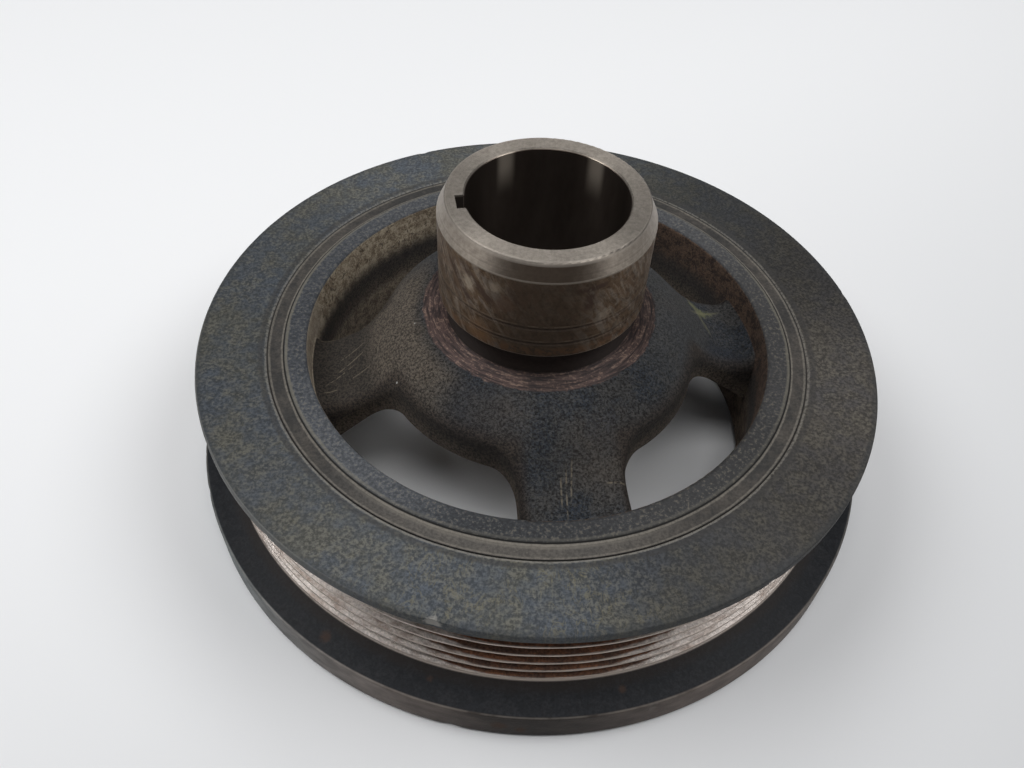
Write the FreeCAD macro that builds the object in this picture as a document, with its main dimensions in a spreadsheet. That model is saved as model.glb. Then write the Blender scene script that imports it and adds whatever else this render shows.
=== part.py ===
"""Crankshaft belt pulley with a rubber-damped belt ring, in three pieces on one axis.

The axis is Z. The origin is the centre of the belt ring's lower face, so the part stands on Z = 0 with
its seal sleeve upwards. Lengths are millimetres and angles are degrees.
"""
import os

import FreeCAD
import Part
import Sketcher

doc = FreeCAD.newDocument("crank_pulley")
sheet = doc.addObject("Spreadsheet::Sheet", "sizes")

SIZES = {
    # belt ring: the outer turned ring
    "ring_height": 38.0,
    "ring_bore_radius": 64.0,
    "ring_bevel_width": 1.5,
    "ring_bevel_depth": 0.5,
    "ring_bottom_chamfer": 0.9,
    "upper_flange_radius": 80.0,
    "upper_flange_edge": 2.4,
    "upper_flange_chamfer": 0.35,
    "lower_flange_radius": 83.8,
    "lower_flange_edge": 9.2,
    "lower_flange_chamfer": 0.4,
    "lower_flange_dish": 14.0,
    # V grooves for the ribbed belt
    "groove_count": 6,
    "groove_pitch": 3.56,
    "groove_angle": 40.0,
    "groove_crest_width": 0.5,
    "groove_root_width": 0.8,
    "crest_radius": 76.6,
    "first_crest_height": 33.5,
    # rubber ring between the hub rim and the belt ring
    "rubber_inner_radius": 60.3,
    "rubber_top_height": 37.75,
    "rubber_bottom_height": 3.4,
    "rubber_dip": 0.35,
    # hub rim
    "rim_top_height": 38.1,
    "rim_bottom_height": 2.8,
    "rim_inner_radius": 54.9,
    "rim_inner_round": 0.9,
    "rim_parting_height": 23.5,
    "rim_draft": 3.0,
    "rim_chamfer": 0.4,
    # domed web between the sleeve and the rim
    "seat_height": 45.3,
    "seat_radius": 27.0,
    "dome_start_angle": 15.0,
    "web_slope": 48.0,
    "dome_radius": 19.6,
    "web_straight": 4.5,
    "dish_radius": 19.9,
    "web_end_angle": 12.0,
    "web_thickness": 5.4,
    "spoke_root_height": 15.3,
    "spoke_end_round": 3.5,
    "spoke_end_sink": 0.3,
    # windows between the spokes
    "spoke_count": 4,
    "spoke_angle": 14.0,
    "window_draft": 3.0,
    "window_plane_height": 48.0,
    "window_inner_radius": 37.2,
    "spoke_half_width": 11.0,
    "window_hub_corner": 10.5,
    "window_rim_corner": 5.0,
    "window_outer_radius": 59.5,
    "window_edge_round": 3.0,
    # seal sleeve, undercut neck and boss
    "sleeve_top_height": 76.4,
    "sleeve_radius": 23.5,
    "sleeve_lead_radius": 21.9,
    "sleeve_lead_height": 3.8,
    "sleeve_edge_round": 0.4,
    "sleeve_bottom_height": 51.7,
    "sleeve_bottom_chamfer": 0.5,
    "neck_radius": 22.0,
    "wear_groove_height": 59.9,
    "wear_groove_spacing": 4.2,
    "wear_groove_width": 0.9,
    "wear_groove_depth": 0.12,
    "boss_bottom_height": 14.0,
    "boss_radius": 24.0,
    "boss_draft": 1.5,
    "boss_chamfer": 1.0,
    "boss_root_round": 3.0,
    # keyed bore
    "bore_radius": 17.5,
    "bore_chamfer": 0.4,
    "keyway_width": 4.5,
    "keyway_depth": 2.0,
}

for row, (alias, value) in enumerate(SIZES.items(), start=1):
    sheet.set("A%d" % row, alias.replace("_", " "))
    sheet.set("B%d" % row, str(value))
    sheet.setAlias("B%d" % row, alias)
doc.recompute()


# the web ends in the middle of the hub rim's wall
WEB_RADIUS = "(rim_inner_radius + rubber_inner_radius) / 2"


def sized(formula):
    """Write a formula in plain size names as an expression on the sheet's cells."""
    words = []
    word = ""
    for letter in formula + " ":
        if letter.isalnum() or letter == "_":
            word += letter
            continue
        words.append("sizes.%s" % word if word in SIZES else word)
        words.append(letter)
        word = ""
    return "".join(words).strip()


def number(formula):
    """The present value of a formula in plain size names."""
    result = sheet.evalExpression(sized(formula))
    return float(getattr(result, "Value", result))


def origin_plane(body, role):
    """One of the body's own origin planes or axes, by its role."""
    return next(feature for feature in body.Origin.OriginFeatures if feature.Role == role)


def new_body(name):
    """An empty body whose label names the node."""
    body = doc.addObject("PartDesign::Body", name)
    body.Label = name
    body.Placement = FreeCAD.Placement()
    return body


def new_sketch(body, name, plane, height=None, turn=None):
    """A sketch on an origin plane, lifted and turned about the axis by formulas."""
    sketch = body.newObject("Sketcher::SketchObject", name)
    sketch.AttachmentSupport = [(origin_plane(body, plane), "")]
    sketch.MapMode = "FlatFace"
    if height:
        sketch.setExpression(".AttachmentOffset.Base.z", sized(height))
    if turn:
        sketch.setExpression(".AttachmentOffset.Rotation.Angle", sized(turn))
    doc.recompute()
    return sketch


def bind(sketch, constraint, formula):
    """Add a dimension to the sketch and bind it to a formula."""
    index = sketch.addConstraint(constraint)
    sketch.setExpression("Constraints[%d]" % index, sized(formula))


def draw_profile(body, name, corners):
    """A closed outline in the XZ plane.

    Each corner is (radius formula, height formula) or, where an arc leads on from it to the next
    corner, (radius formula, height formula, arc centre's radius, arc centre's height, turn), with
    turn +1 for an arc that runs anticlockwise and -1 for one that runs clockwise.
    """
    sketch = new_sketch(body, name, "XZ_Plane")
    points = [FreeCAD.Vector(number(corner[0]), number(corner[1]), 0) for corner in corners]
    count = len(corners)
    starts = []
    for index, corner in enumerate(corners):
        start = points[index]
        end = points[(index + 1) % count]
        if len(corner) == 2:
            sketch.addGeometry(Part.LineSegment(start, end))
            starts.append((1, 2))
            continue
        centre = FreeCAD.Vector(number(corner[2]), number(corner[3]), 0)
        circle = Part.Circle(centre, FreeCAD.Vector(0, 0, 1), start.distanceToPoint(centre))
        first, last = (start, end) if corner[4] > 0 else (end, start)
        sketch.addGeometry(Part.ArcOfCircle(circle, circle.parameter(first), circle.parameter(last)))
        starts.append((1, 2) if corner[4] > 0 else (2, 1))
    for index, corner in enumerate(corners):
        after = (index + 1) % count
        join = Sketcher.Constraint("Coincident", index, starts[index][1], after, starts[after][0])
        sketch.addConstraint(join)
    for index, corner in enumerate(corners):
        place = starts[index][0]
        across = Sketcher.Constraint("DistanceX", -1, 1, index, place, points[index].x)
        upward = Sketcher.Constraint("DistanceY", -1, 1, index, place, points[index].y)
        bind(sketch, across, corner[0])
        bind(sketch, upward, corner[1])
        if len(corner) == 5:
            centre_height = number(corner[3])
            level = Sketcher.Constraint("DistanceY", -1, 1, index, 3, centre_height)
            bind(sketch, level, corner[3])
    return sketch


def revolve(body, name, sketch):
    """A full turn of a sketch about the body's Z axis."""
    turned = body.newObject("PartDesign::Revolution", name)
    turned.Profile = sketch
    turned.ReferenceAxis = (origin_plane(body, "Z_Axis"), [""])
    turned.Angle = 360
    doc.recompute()
    return turned


def turn_pattern(body, name, feature, count):
    """Copies of a feature spread evenly round the axis."""
    pattern = body.newObject("PartDesign::PolarPattern", name)
    pattern.Originals = [feature]
    pattern.Axis = (origin_plane(body, "Z_Axis"), [""])
    pattern.Angle = 360
    pattern.setExpression("Occurrences", sized(count))
    body.Tip = pattern
    doc.recompute()
    return pattern


def round_edges(body, name, chosen, radius):
    """A fillet on the edges of the body's present shape that the test picks."""
    base = body.Tip
    names = ["Edge%d" % place for place, edge in enumerate(base.Shape.Edges, start=1) if chosen(edge)]
    fillet = body.newObject("PartDesign::Fillet", name)
    fillet.Base = (base, names)
    fillet.setExpression("Radius", sized(radius))
    doc.recompute()
    return fillet


def radius_at(point):
    """A point's distance from the axis."""
    return (point.x ** 2 + point.y ** 2) ** 0.5


def belt_ring():
    """The outer ring: flat upper face, six V grooves, and the larger dished lower flange."""
    body = new_body("belt_ring")
    last_crest = "first_crest_height - groove_count * groove_pitch"
    land = "%s - groove_crest_width" % last_crest
    corners = [
        ("ring_bore_radius + ring_bottom_chamfer", "0"),
        ("lower_flange_radius - ring_bottom_chamfer", "0"),
        ("lower_flange_radius", "ring_bottom_chamfer"),
        ("lower_flange_radius", "lower_flange_edge - lower_flange_chamfer"),
        ("lower_flange_radius - lower_flange_chamfer", "lower_flange_edge"),
        ("crest_radius", land),
        ("crest_radius", "first_crest_height + groove_crest_width"),
        ("upper_flange_radius", "ring_height - upper_flange_edge"),
        ("upper_flange_radius", "ring_height - upper_flange_chamfer"),
        ("upper_flange_radius - upper_flange_chamfer", "ring_height"),
        ("ring_bore_radius + ring_bevel_width", "ring_height"),
        ("ring_bore_radius", "ring_height - ring_bevel_depth"),
        ("ring_bore_radius", "ring_bottom_chamfer"),
    ]
    # the dished face of the lower flange is a shallow arc, hollow side up
    outer = "(lower_flange_radius - lower_flange_chamfer)"
    middle_across = "(%s + crest_radius) / 2" % outer
    middle_up = "(lower_flange_edge + %s) / 2" % land
    run = "(%s - crest_radius)" % outer
    rise = "(%s - lower_flange_edge)" % land
    half_chord = "(sqrt(%s ^ 2 + %s ^ 2) / 2)" % (run, rise)
    reach = "(sqrt(lower_flange_dish ^ 2 - %s ^ 2) / (2 * %s))" % (half_chord, half_chord)
    centre_across = "%s + %s * %s" % (middle_across, rise, reach)
    centre_up = "%s + %s * %s" % (middle_up, run, reach)
    corners[4] = corners[4] + (centre_across, centre_up, -1)
    revolve(body, "ring_blank", draw_profile(body, "ring_section", corners))

    half_mouth = "(groove_pitch - groove_crest_width) / 2"
    half_root = "groove_root_width / 2"
    depth = "((%s - %s) / tan(groove_angle / 2))" % (half_mouth, half_root)
    middle = "first_crest_height - groove_pitch / 2"
    past = "groove_crest_width"
    widen = "(%s * tan(groove_angle / 2))" % past
    section = draw_profile(body, "groove_section", [
        ("crest_radius - %s" % depth, "%s - %s" % (middle, half_root)),
        ("crest_radius + %s" % past, "%s - %s - %s" % (middle, half_mouth, widen)),
        ("crest_radius + %s" % past, "%s + %s + %s" % (middle, half_mouth, widen)),
        ("crest_radius - %s" % depth, "%s + %s" % (middle, half_root)),
    ])
    groove = body.newObject("PartDesign::Groove", "first_groove")
    groove.Profile = section
    groove.ReferenceAxis = (origin_plane(body, "Z_Axis"), [""])
    groove.Angle = 360
    doc.recompute()
    rows = body.newObject("PartDesign::LinearPattern", "groove_rows")
    rows.Originals = [groove]
    rows.Direction = (origin_plane(body, "Z_Axis"), [""])
    rows.Reversed = True
    rows.setExpression("Length", sized("groove_pitch * (groove_count - 1)"))
    rows.setExpression("Occurrences", sized("groove_count"))
    body.Tip = rows
    doc.recompute()
    return body


def rubber_ring():
    """The rubber ring, which fills the gap between hub rim and belt ring, with dished ends."""
    body = new_body("rubber_ring")
    middle = "(rubber_inner_radius + ring_bore_radius) / 2"
    corners = [
        ("rubber_inner_radius", "rubber_bottom_height"),
        (middle, "rubber_bottom_height + rubber_dip"),
        ("ring_bore_radius", "rubber_bottom_height"),
        ("ring_bore_radius", "rubber_top_height"),
        (middle, "rubber_top_height - rubber_dip"),
        ("rubber_inner_radius", "rubber_top_height"),
    ]
    revolve(body, "rubber", draw_profile(body, "rubber_section", corners))
    return body


def web_corners():
    """The outline of the domed web: seat, dome, straight slope, dish, and the round up to the rim.

    The underside runs straight down from the dome to the deep roots of the spokes.
    """
    dome_across = "(seat_radius - dome_radius * sin(dome_start_angle))"
    dome_up = "(seat_height - dome_radius * cos(dome_start_angle))"
    dish_across = (
        "(%s + (dome_radius + dish_radius) * sin(web_slope) + web_straight * cos(web_slope))" % dome_across
    )
    dish_up = "(%s + (dome_radius + dish_radius) * cos(web_slope) - web_straight * sin(web_slope))" % dome_up

    def around(across, up, radius, angle, side):
        """A point of an arc whose normal leans by the angle from upright."""
        return (
            "%s %s (%s) * sin(%s)" % (across, side, radius, angle),
            "%s %s (%s) * cos(%s)" % (up, side, radius, angle),
        )

    thin_dome = "dome_radius - web_thickness"
    dish_end = around(dish_across, dish_up, "dish_radius", "web_end_angle", "-")
    under_start = around(dome_across, dome_up, thin_dome, "dome_start_angle", "+")
    # the round ends just inside the rim's wall, so that it crosses the wall at a clear angle
    round_end = "(rim_inner_radius + spoke_end_sink)"
    round_across = "(%s - spoke_end_round)" % round_end
    round_foot = "(%s - spoke_end_round * sin(web_end_angle))" % round_across
    foot_up = "(%s - (%s - (%s)) * tan(web_end_angle))" % (dish_end[1], round_foot, dish_end[0])
    round_up = "(%s + spoke_end_round * cos(web_end_angle))" % foot_up
    inner = "(bore_radius + neck_radius) / 2"
    return [
        (inner, "seat_height"),
        ("seat_radius", "seat_height", dome_across, dome_up, -1),
        around(dome_across, dome_up, "dome_radius", "web_slope", "+"),
        around(dish_across, dish_up, "dish_radius", "web_slope", "-") + (dish_across, dish_up, 1),
        dish_end,
        (round_foot, foot_up, round_across, round_up, 1),
        (round_end, round_up),
        (WEB_RADIUS, round_up),
        (WEB_RADIUS, "spoke_root_height"),
        around(dish_across, dish_up, "dish_radius + web_thickness", "web_slope", "-"),
        around(dome_across, dome_up, thin_dome, "web_slope", "+") + (dome_across, dome_up, 1),
        under_start,
        (inner, "%s + (%s - (%s)) * tan(dome_start_angle)" % (under_start[1], under_start[0], inner)),
    ]


def cut_windows(body):
    """Four drafted windows through the web, each with four rounded corners."""
    turn = "spoke_angle + 180 / spoke_count"
    sketch = new_sketch(body, "window_outline", "XY_Plane", "window_plane_height", turn)
    half = "180 / spoke_count"
    inner = number("window_inner_radius")
    outer = number("window_outer_radius")
    offset = number("spoke_half_width")
    hub_corner = number("window_hub_corner")
    rim_corner = number("window_rim_corner")
    along = FreeCAD.Vector(number("cos(%s)" % half), number("sin(%s)" % half), 0)
    away = FreeCAD.Vector(along.y, -along.x, 0)

    def corner_centre(reach, side):
        """The centre of a corner round, beside the spoke and at a set distance from the axis."""
        return along * (reach ** 2 - side ** 2) ** 0.5 + away * side

    hub_centre = corner_centre(inner + hub_corner, offset + hub_corner)
    rim_centre = corner_centre(outer - rim_corner, offset + rim_corner)
    hub_touch = hub_centre * (inner / (inner + hub_corner))
    rim_touch = rim_centre * (outer / (outer - rim_corner))
    hub_side = hub_centre - away * hub_corner
    rim_side = rim_centre - away * rim_corner

    def below(point):
        """The same point on the other side of the window's middle line."""
        return FreeCAD.Vector(point.x, -point.y, 0)

    def arc(centre, radius, first, last):
        """An anticlockwise arc from one point to another."""
        circle = Part.Circle(centre, FreeCAD.Vector(0, 0, 1), radius)
        return Part.ArcOfCircle(circle, circle.parameter(first), circle.parameter(last))

    zero = FreeCAD.Vector(0, 0, 0)
    sketch.addGeometry(arc(zero, inner, below(hub_touch), hub_touch))
    sketch.addGeometry(arc(hub_centre, hub_corner, hub_side, hub_touch))
    sketch.addGeometry(Part.LineSegment(hub_side, rim_side))
    sketch.addGeometry(arc(rim_centre, rim_corner, rim_touch, rim_side))
    sketch.addGeometry(arc(zero, outer, below(rim_touch), rim_touch))
    sketch.addGeometry(arc(below(rim_centre), rim_corner, below(rim_side), below(rim_touch)))
    sketch.addGeometry(Part.LineSegment(below(hub_side), below(rim_side)))
    sketch.addGeometry(arc(below(hub_centre), hub_corner, below(hub_touch), below(hub_side)))
    joins = [
        (0, 2, 1, 2), (1, 1, 2, 1), (2, 2, 3, 2), (3, 1, 4, 2),
        (4, 1, 5, 2), (5, 1, 6, 2), (6, 1, 7, 2), (7, 1, 0, 1),
    ]
    for first, first_end, second, second_end in joins:
        sketch.addConstraint(Sketcher.Constraint("Tangent", first, first_end, second, second_end))
    for round_arc in (0, 4):
        sketch.addConstraint(Sketcher.Constraint("Coincident", round_arc, 3, -1, 1))
    bind(sketch, Sketcher.Constraint("Radius", 0, inner), "window_inner_radius")
    bind(sketch, Sketcher.Constraint("Radius", 4, outer), "window_outer_radius")
    for round_arc in (1, 7):
        bind(sketch, Sketcher.Constraint("Radius", round_arc, hub_corner), "window_hub_corner")
    for round_arc in (3, 5):
        bind(sketch, Sketcher.Constraint("Radius", round_arc, rim_corner), "window_rim_corner")
    for side_line, lean in ((2, half), (6, "-(%s)" % half)):
        angle = FreeCAD.Units.Quantity("%f deg" % number(lean))
        bind(sketch, Sketcher.Constraint("Angle", side_line, angle), lean)
        bind(sketch, Sketcher.Constraint("Distance", -1, 1, side_line, offset), "spoke_half_width")
    doc.recompute()

    before = body.Shape.Volume
    window = body.newObject("PartDesign::Pocket", "window")
    window.Profile = sketch
    window.Type = "Length"
    window.setExpression("Length", sized("window_plane_height"))
    window.setExpression("TaperAngle", sized("-window_draft"))
    doc.recompute()
    if not body.Shape.Volume < before:
        raise RuntimeError("the window cuts nothing")
    turn_pattern(body, "windows", window, "spoke_count")
    round_edges(body, "window_borders", window_border_test(body.Tip.Shape), "window_edge_round")


def window_border_test(shape):
    """A test that picks the edges between a window's upright side and the web's upper surface."""
    inner = number("window_inner_radius - 1")
    outer = number(WEB_RADIUS) - 0.1

    def middle(face):
        """The point and the outward normal in the middle of a face."""
        low_u, high_u, low_v, high_v = face.ParameterRange
        place = ((low_u + high_u) / 2, (low_v + high_v) / 2)
        return face.valueAt(*place), face.normalAt(*place)

    def is_side(face):
        """Whether a face is the upright side of a window."""
        point, normal = middle(face)
        return abs(normal.z) < 0.2 and inner < radius_at(point) < outer

    def picks(edge):
        """Whether one of the edge's faces is a window's side and another one looks up."""
        faces = shape.ancestorsOfType(edge, Part.Face)
        return any(map(is_side, faces)) and any(middle(face)[1].z > 0.2 for face in faces)

    return picks


def sleeve_corners():
    """The outline of boss, neck and seal sleeve, round the bore, with the seal's two wear grooves."""
    boss_top = "(seat_height - web_thickness / 3)"
    lead_foot = "(sleeve_top_height - sleeve_lead_height)"
    corners = [
        ("bore_radius", "boss_bottom_height + bore_chamfer"),
        ("bore_radius + bore_chamfer", "boss_bottom_height"),
        ("boss_radius - boss_chamfer", "boss_bottom_height"),
        ("boss_radius", "boss_bottom_height + boss_chamfer"),
        ("boss_radius + (%s - boss_bottom_height - boss_chamfer) * tan(boss_draft)" % boss_top, boss_top),
        ("neck_radius", boss_top),
        ("neck_radius", "sleeve_bottom_height"),
        ("sleeve_radius - sleeve_bottom_chamfer", "sleeve_bottom_height"),
        ("sleeve_radius", "sleeve_bottom_height + sleeve_bottom_chamfer"),
    ]
    for height in ("(wear_groove_height - wear_groove_spacing)", "wear_groove_height"):
        corners.append(("sleeve_radius", "%s - wear_groove_width / 2" % height))
        corners.append(("sleeve_radius - wear_groove_depth", height))
        corners.append(("sleeve_radius", "%s + wear_groove_width / 2" % height))
    corners += [
        ("sleeve_radius", lead_foot),
        ("sleeve_lead_radius", "sleeve_top_height - sleeve_edge_round",
         "sleeve_lead_radius - sleeve_edge_round", "sleeve_top_height - sleeve_edge_round", 1),
        ("sleeve_lead_radius - sleeve_edge_round", "sleeve_top_height"),
        ("bore_radius + bore_chamfer", "sleeve_top_height"),
        ("bore_radius", "sleeve_top_height - bore_chamfer"),
    ]
    return corners


def rim_corners():
    """The outline of the hub rim: rounded inner top edge, other edges chamfered.

    The inner wall leans outward both ways from the mould's parting height.
    """
    wall_top = "(rim_top_height - rim_inner_round)"
    parting = "(rim_inner_radius - (%s - rim_parting_height) * tan(rim_draft))" % wall_top
    mouth = "(%s + (rim_parting_height - rim_bottom_height) * tan(rim_draft))" % parting
    return [
        ("%s + rim_chamfer" % mouth, "rim_bottom_height"),
        ("rubber_inner_radius - rim_chamfer", "rim_bottom_height"),
        ("rubber_inner_radius", "rim_bottom_height + rim_chamfer"),
        ("rubber_inner_radius", "rim_top_height - rim_chamfer"),
        ("rubber_inner_radius - rim_chamfer", "rim_top_height"),
        ("rim_inner_radius + rim_inner_round", "rim_top_height",
         "rim_inner_radius + rim_inner_round", "rim_top_height - rim_inner_round", 1),
        ("rim_inner_radius", wall_top),
        (parting, "rim_parting_height"),
        (mouth, "rim_bottom_height + rim_chamfer"),
    ]


def hub_casting():
    """The hub: domed web with four windows, hub rim, boss, neck and keyed seal sleeve, in one piece."""
    body = new_body("hub_casting")
    revolve(body, "web", draw_profile(body, "web_section", web_corners()))
    cut_windows(body)
    revolve(body, "hub_rim", draw_profile(body, "rim_section", rim_corners()))
    revolve(body, "sleeve_and_boss", draw_profile(body, "sleeve_section", sleeve_corners()))

    def is_boss_root(edge):
        """Whether an edge is the ring where the boss runs into the web's underside."""
        middle = edge.valueAt((edge.FirstParameter + edge.LastParameter) / 2)
        above_base = middle.z > number("boss_bottom_height + boss_chamfer + boss_root_round")
        near_wall = number("boss_radius") <= radius_at(middle) < number("boss_radius + boss_root_round")
        return above_base and near_wall and middle.z < number("seat_height - web_thickness / 2")

    round_edges(body, "boss_root", is_boss_root, "boss_root_round")
    cut_keyway(body)
    return body


def cut_keyway(body):
    """The keyway, broached through the bore in line with one spoke."""
    sketch = new_sketch(body, "keyway_outline", "XY_Plane", "sleeve_top_height", "spoke_angle + 180")
    start = number("bore_radius / 2")
    end = number("bore_radius + keyway_depth")
    half = number("keyway_width / 2")
    corners = [(start, -half), (end, -half), (end, half), (start, half)]
    points = [FreeCAD.Vector(across, up, 0) for across, up in corners]
    for index in range(4):
        sketch.addGeometry(Part.LineSegment(points[index], points[(index + 1) % 4]))
    for index in range(4):
        sketch.addConstraint(Sketcher.Constraint("Coincident", index, 2, (index + 1) % 4, 1))
    for line in (0, 2):
        sketch.addConstraint(Sketcher.Constraint("Horizontal", line))
    sketch.addConstraint(Sketcher.Constraint("Vertical", 3))
    sketch.addConstraint(Sketcher.Constraint("Symmetric", 1, 1, 1, 2, -1))
    bind(sketch, Sketcher.Constraint("DistanceX", -1, 1, 0, 1, start), "bore_radius / 2")
    bind(sketch, Sketcher.Constraint("DistanceX", -1, 1, 0, 2, end), "bore_radius + keyway_depth")
    bind(sketch, Sketcher.Constraint("DistanceY", 1, 1, 1, 2, 2 * half), "keyway_width")
    doc.recompute()
    before = body.Shape.Volume
    keyway = body.newObject("PartDesign::Pocket", "keyway")
    keyway.Profile = sketch
    keyway.Type = "ThroughAll"
    doc.recompute()
    if not body.Shape.Volume < before:
        raise RuntimeError("the keyway cuts nothing")


def check(pieces):
    """Stop if any feature failed or any piece is not one sound solid."""
    for item in doc.Objects:
        if {"Invalid", "Error"} & set(item.State):
            raise RuntimeError("%s failed: %s" % (item.Name, item.State))
    for piece in pieces:
        shape = piece.Shape
        if shape.isNull() or not shape.isValid() or len(shape.Solids) != 1:
            raise RuntimeError("%s is not one sound solid" % piece.Label)


def main():
    """Build the three pieces, check them and write one file for each."""
    pieces = [hub_casting(), rubber_ring(), belt_ring()]
    doc.recompute()
    check(pieces)
    os.makedirs("parts", exist_ok=True)
    for piece in pieces:
        piece.Shape.exportStep("parts/%s.step" % piece.Label)
        print("%s: %.1f mm3" % (piece.Label, piece.Shape.Volume))


main()
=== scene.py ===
"""Looks of a used crankshaft belt pulley: spoked hub casting, rubber ring and grooved belt ring.

The frame is in metres, with Z along the bore and the belt ring's lower face on Z = 0. The part's sizes
are millimetres, and MM turns them into metres. Azimuths are degrees round Z. Every pattern reads object
coordinates.
"""
import logging
import math
from dataclasses import dataclass, field
from enum import Enum
from typing import Callable, List, NamedTuple, Optional, Sequence, Tuple, Union

import bpy
import numpy as np
from mathutils import Matrix


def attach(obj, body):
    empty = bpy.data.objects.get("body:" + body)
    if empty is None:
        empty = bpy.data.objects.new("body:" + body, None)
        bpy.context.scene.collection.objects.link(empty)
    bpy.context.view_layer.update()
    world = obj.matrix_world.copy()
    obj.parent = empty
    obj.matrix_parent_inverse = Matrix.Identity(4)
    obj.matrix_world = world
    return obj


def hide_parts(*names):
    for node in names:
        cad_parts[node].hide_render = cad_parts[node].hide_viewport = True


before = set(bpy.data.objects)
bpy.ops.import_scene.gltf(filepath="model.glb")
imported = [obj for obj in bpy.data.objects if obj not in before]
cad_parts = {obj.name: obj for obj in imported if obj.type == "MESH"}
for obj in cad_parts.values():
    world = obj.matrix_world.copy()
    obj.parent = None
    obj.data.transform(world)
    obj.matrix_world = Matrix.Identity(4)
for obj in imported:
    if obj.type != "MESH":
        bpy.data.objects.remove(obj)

LOG = logging.getLogger("crank_pulley")
MM = 0.001
Colour = Tuple[float, float, float]
Pair = Tuple[Colour, Colour]
Place = Tuple[float, float, float]
Spot = Tuple[Place, float, float]
SoftSpot = Tuple[Place, float, float, float]
Scratch = Tuple[Tuple[float, float], Tuple[float, float]]
SleeveStreak = Tuple[Tuple[float, float], Tuple[float, float], float, float]
SleeveSpot = Tuple[Tuple[float, float], float, float, Colour]


def around(radius: float, azimuth: float, height: float) -> Place:
    """The place at a radius, an azimuth in degrees and a height."""
    turn = math.radians(azimuth)
    return (radius * math.cos(turn), radius * math.sin(turn), height)


class Wire:
    """A value, vector or colour running through a material's nodes, with plain arithmetic on it."""

    def __init__(self, graph: "Graph", socket: bpy.types.NodeSocket) -> None:
        """Keep the graph and the socket that the value comes from."""
        self.graph = graph
        self.socket = socket

    def __add__(self, other: "Value") -> "Wire":
        """The sum."""
        return self.graph.math("ADD", self, other)

    def __sub__(self, other: "Value") -> "Wire":
        """The difference."""
        return self.graph.math("SUBTRACT", self, other)

    def __rsub__(self, other: "Value") -> "Wire":
        """A number less this value."""
        return self.graph.math("SUBTRACT", other, self)

    def __mul__(self, other: "Value") -> "Wire":
        """The product."""
        return self.graph.math("MULTIPLY", self, other)

    def __truediv__(self, other: "Value") -> "Wire":
        """The quotient."""
        return self.graph.math("DIVIDE", self, other)

    __radd__ = __add__
    __rmul__ = __mul__


Value = Union[float, Wire]
Paint = Union[Colour, Wire]


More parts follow.
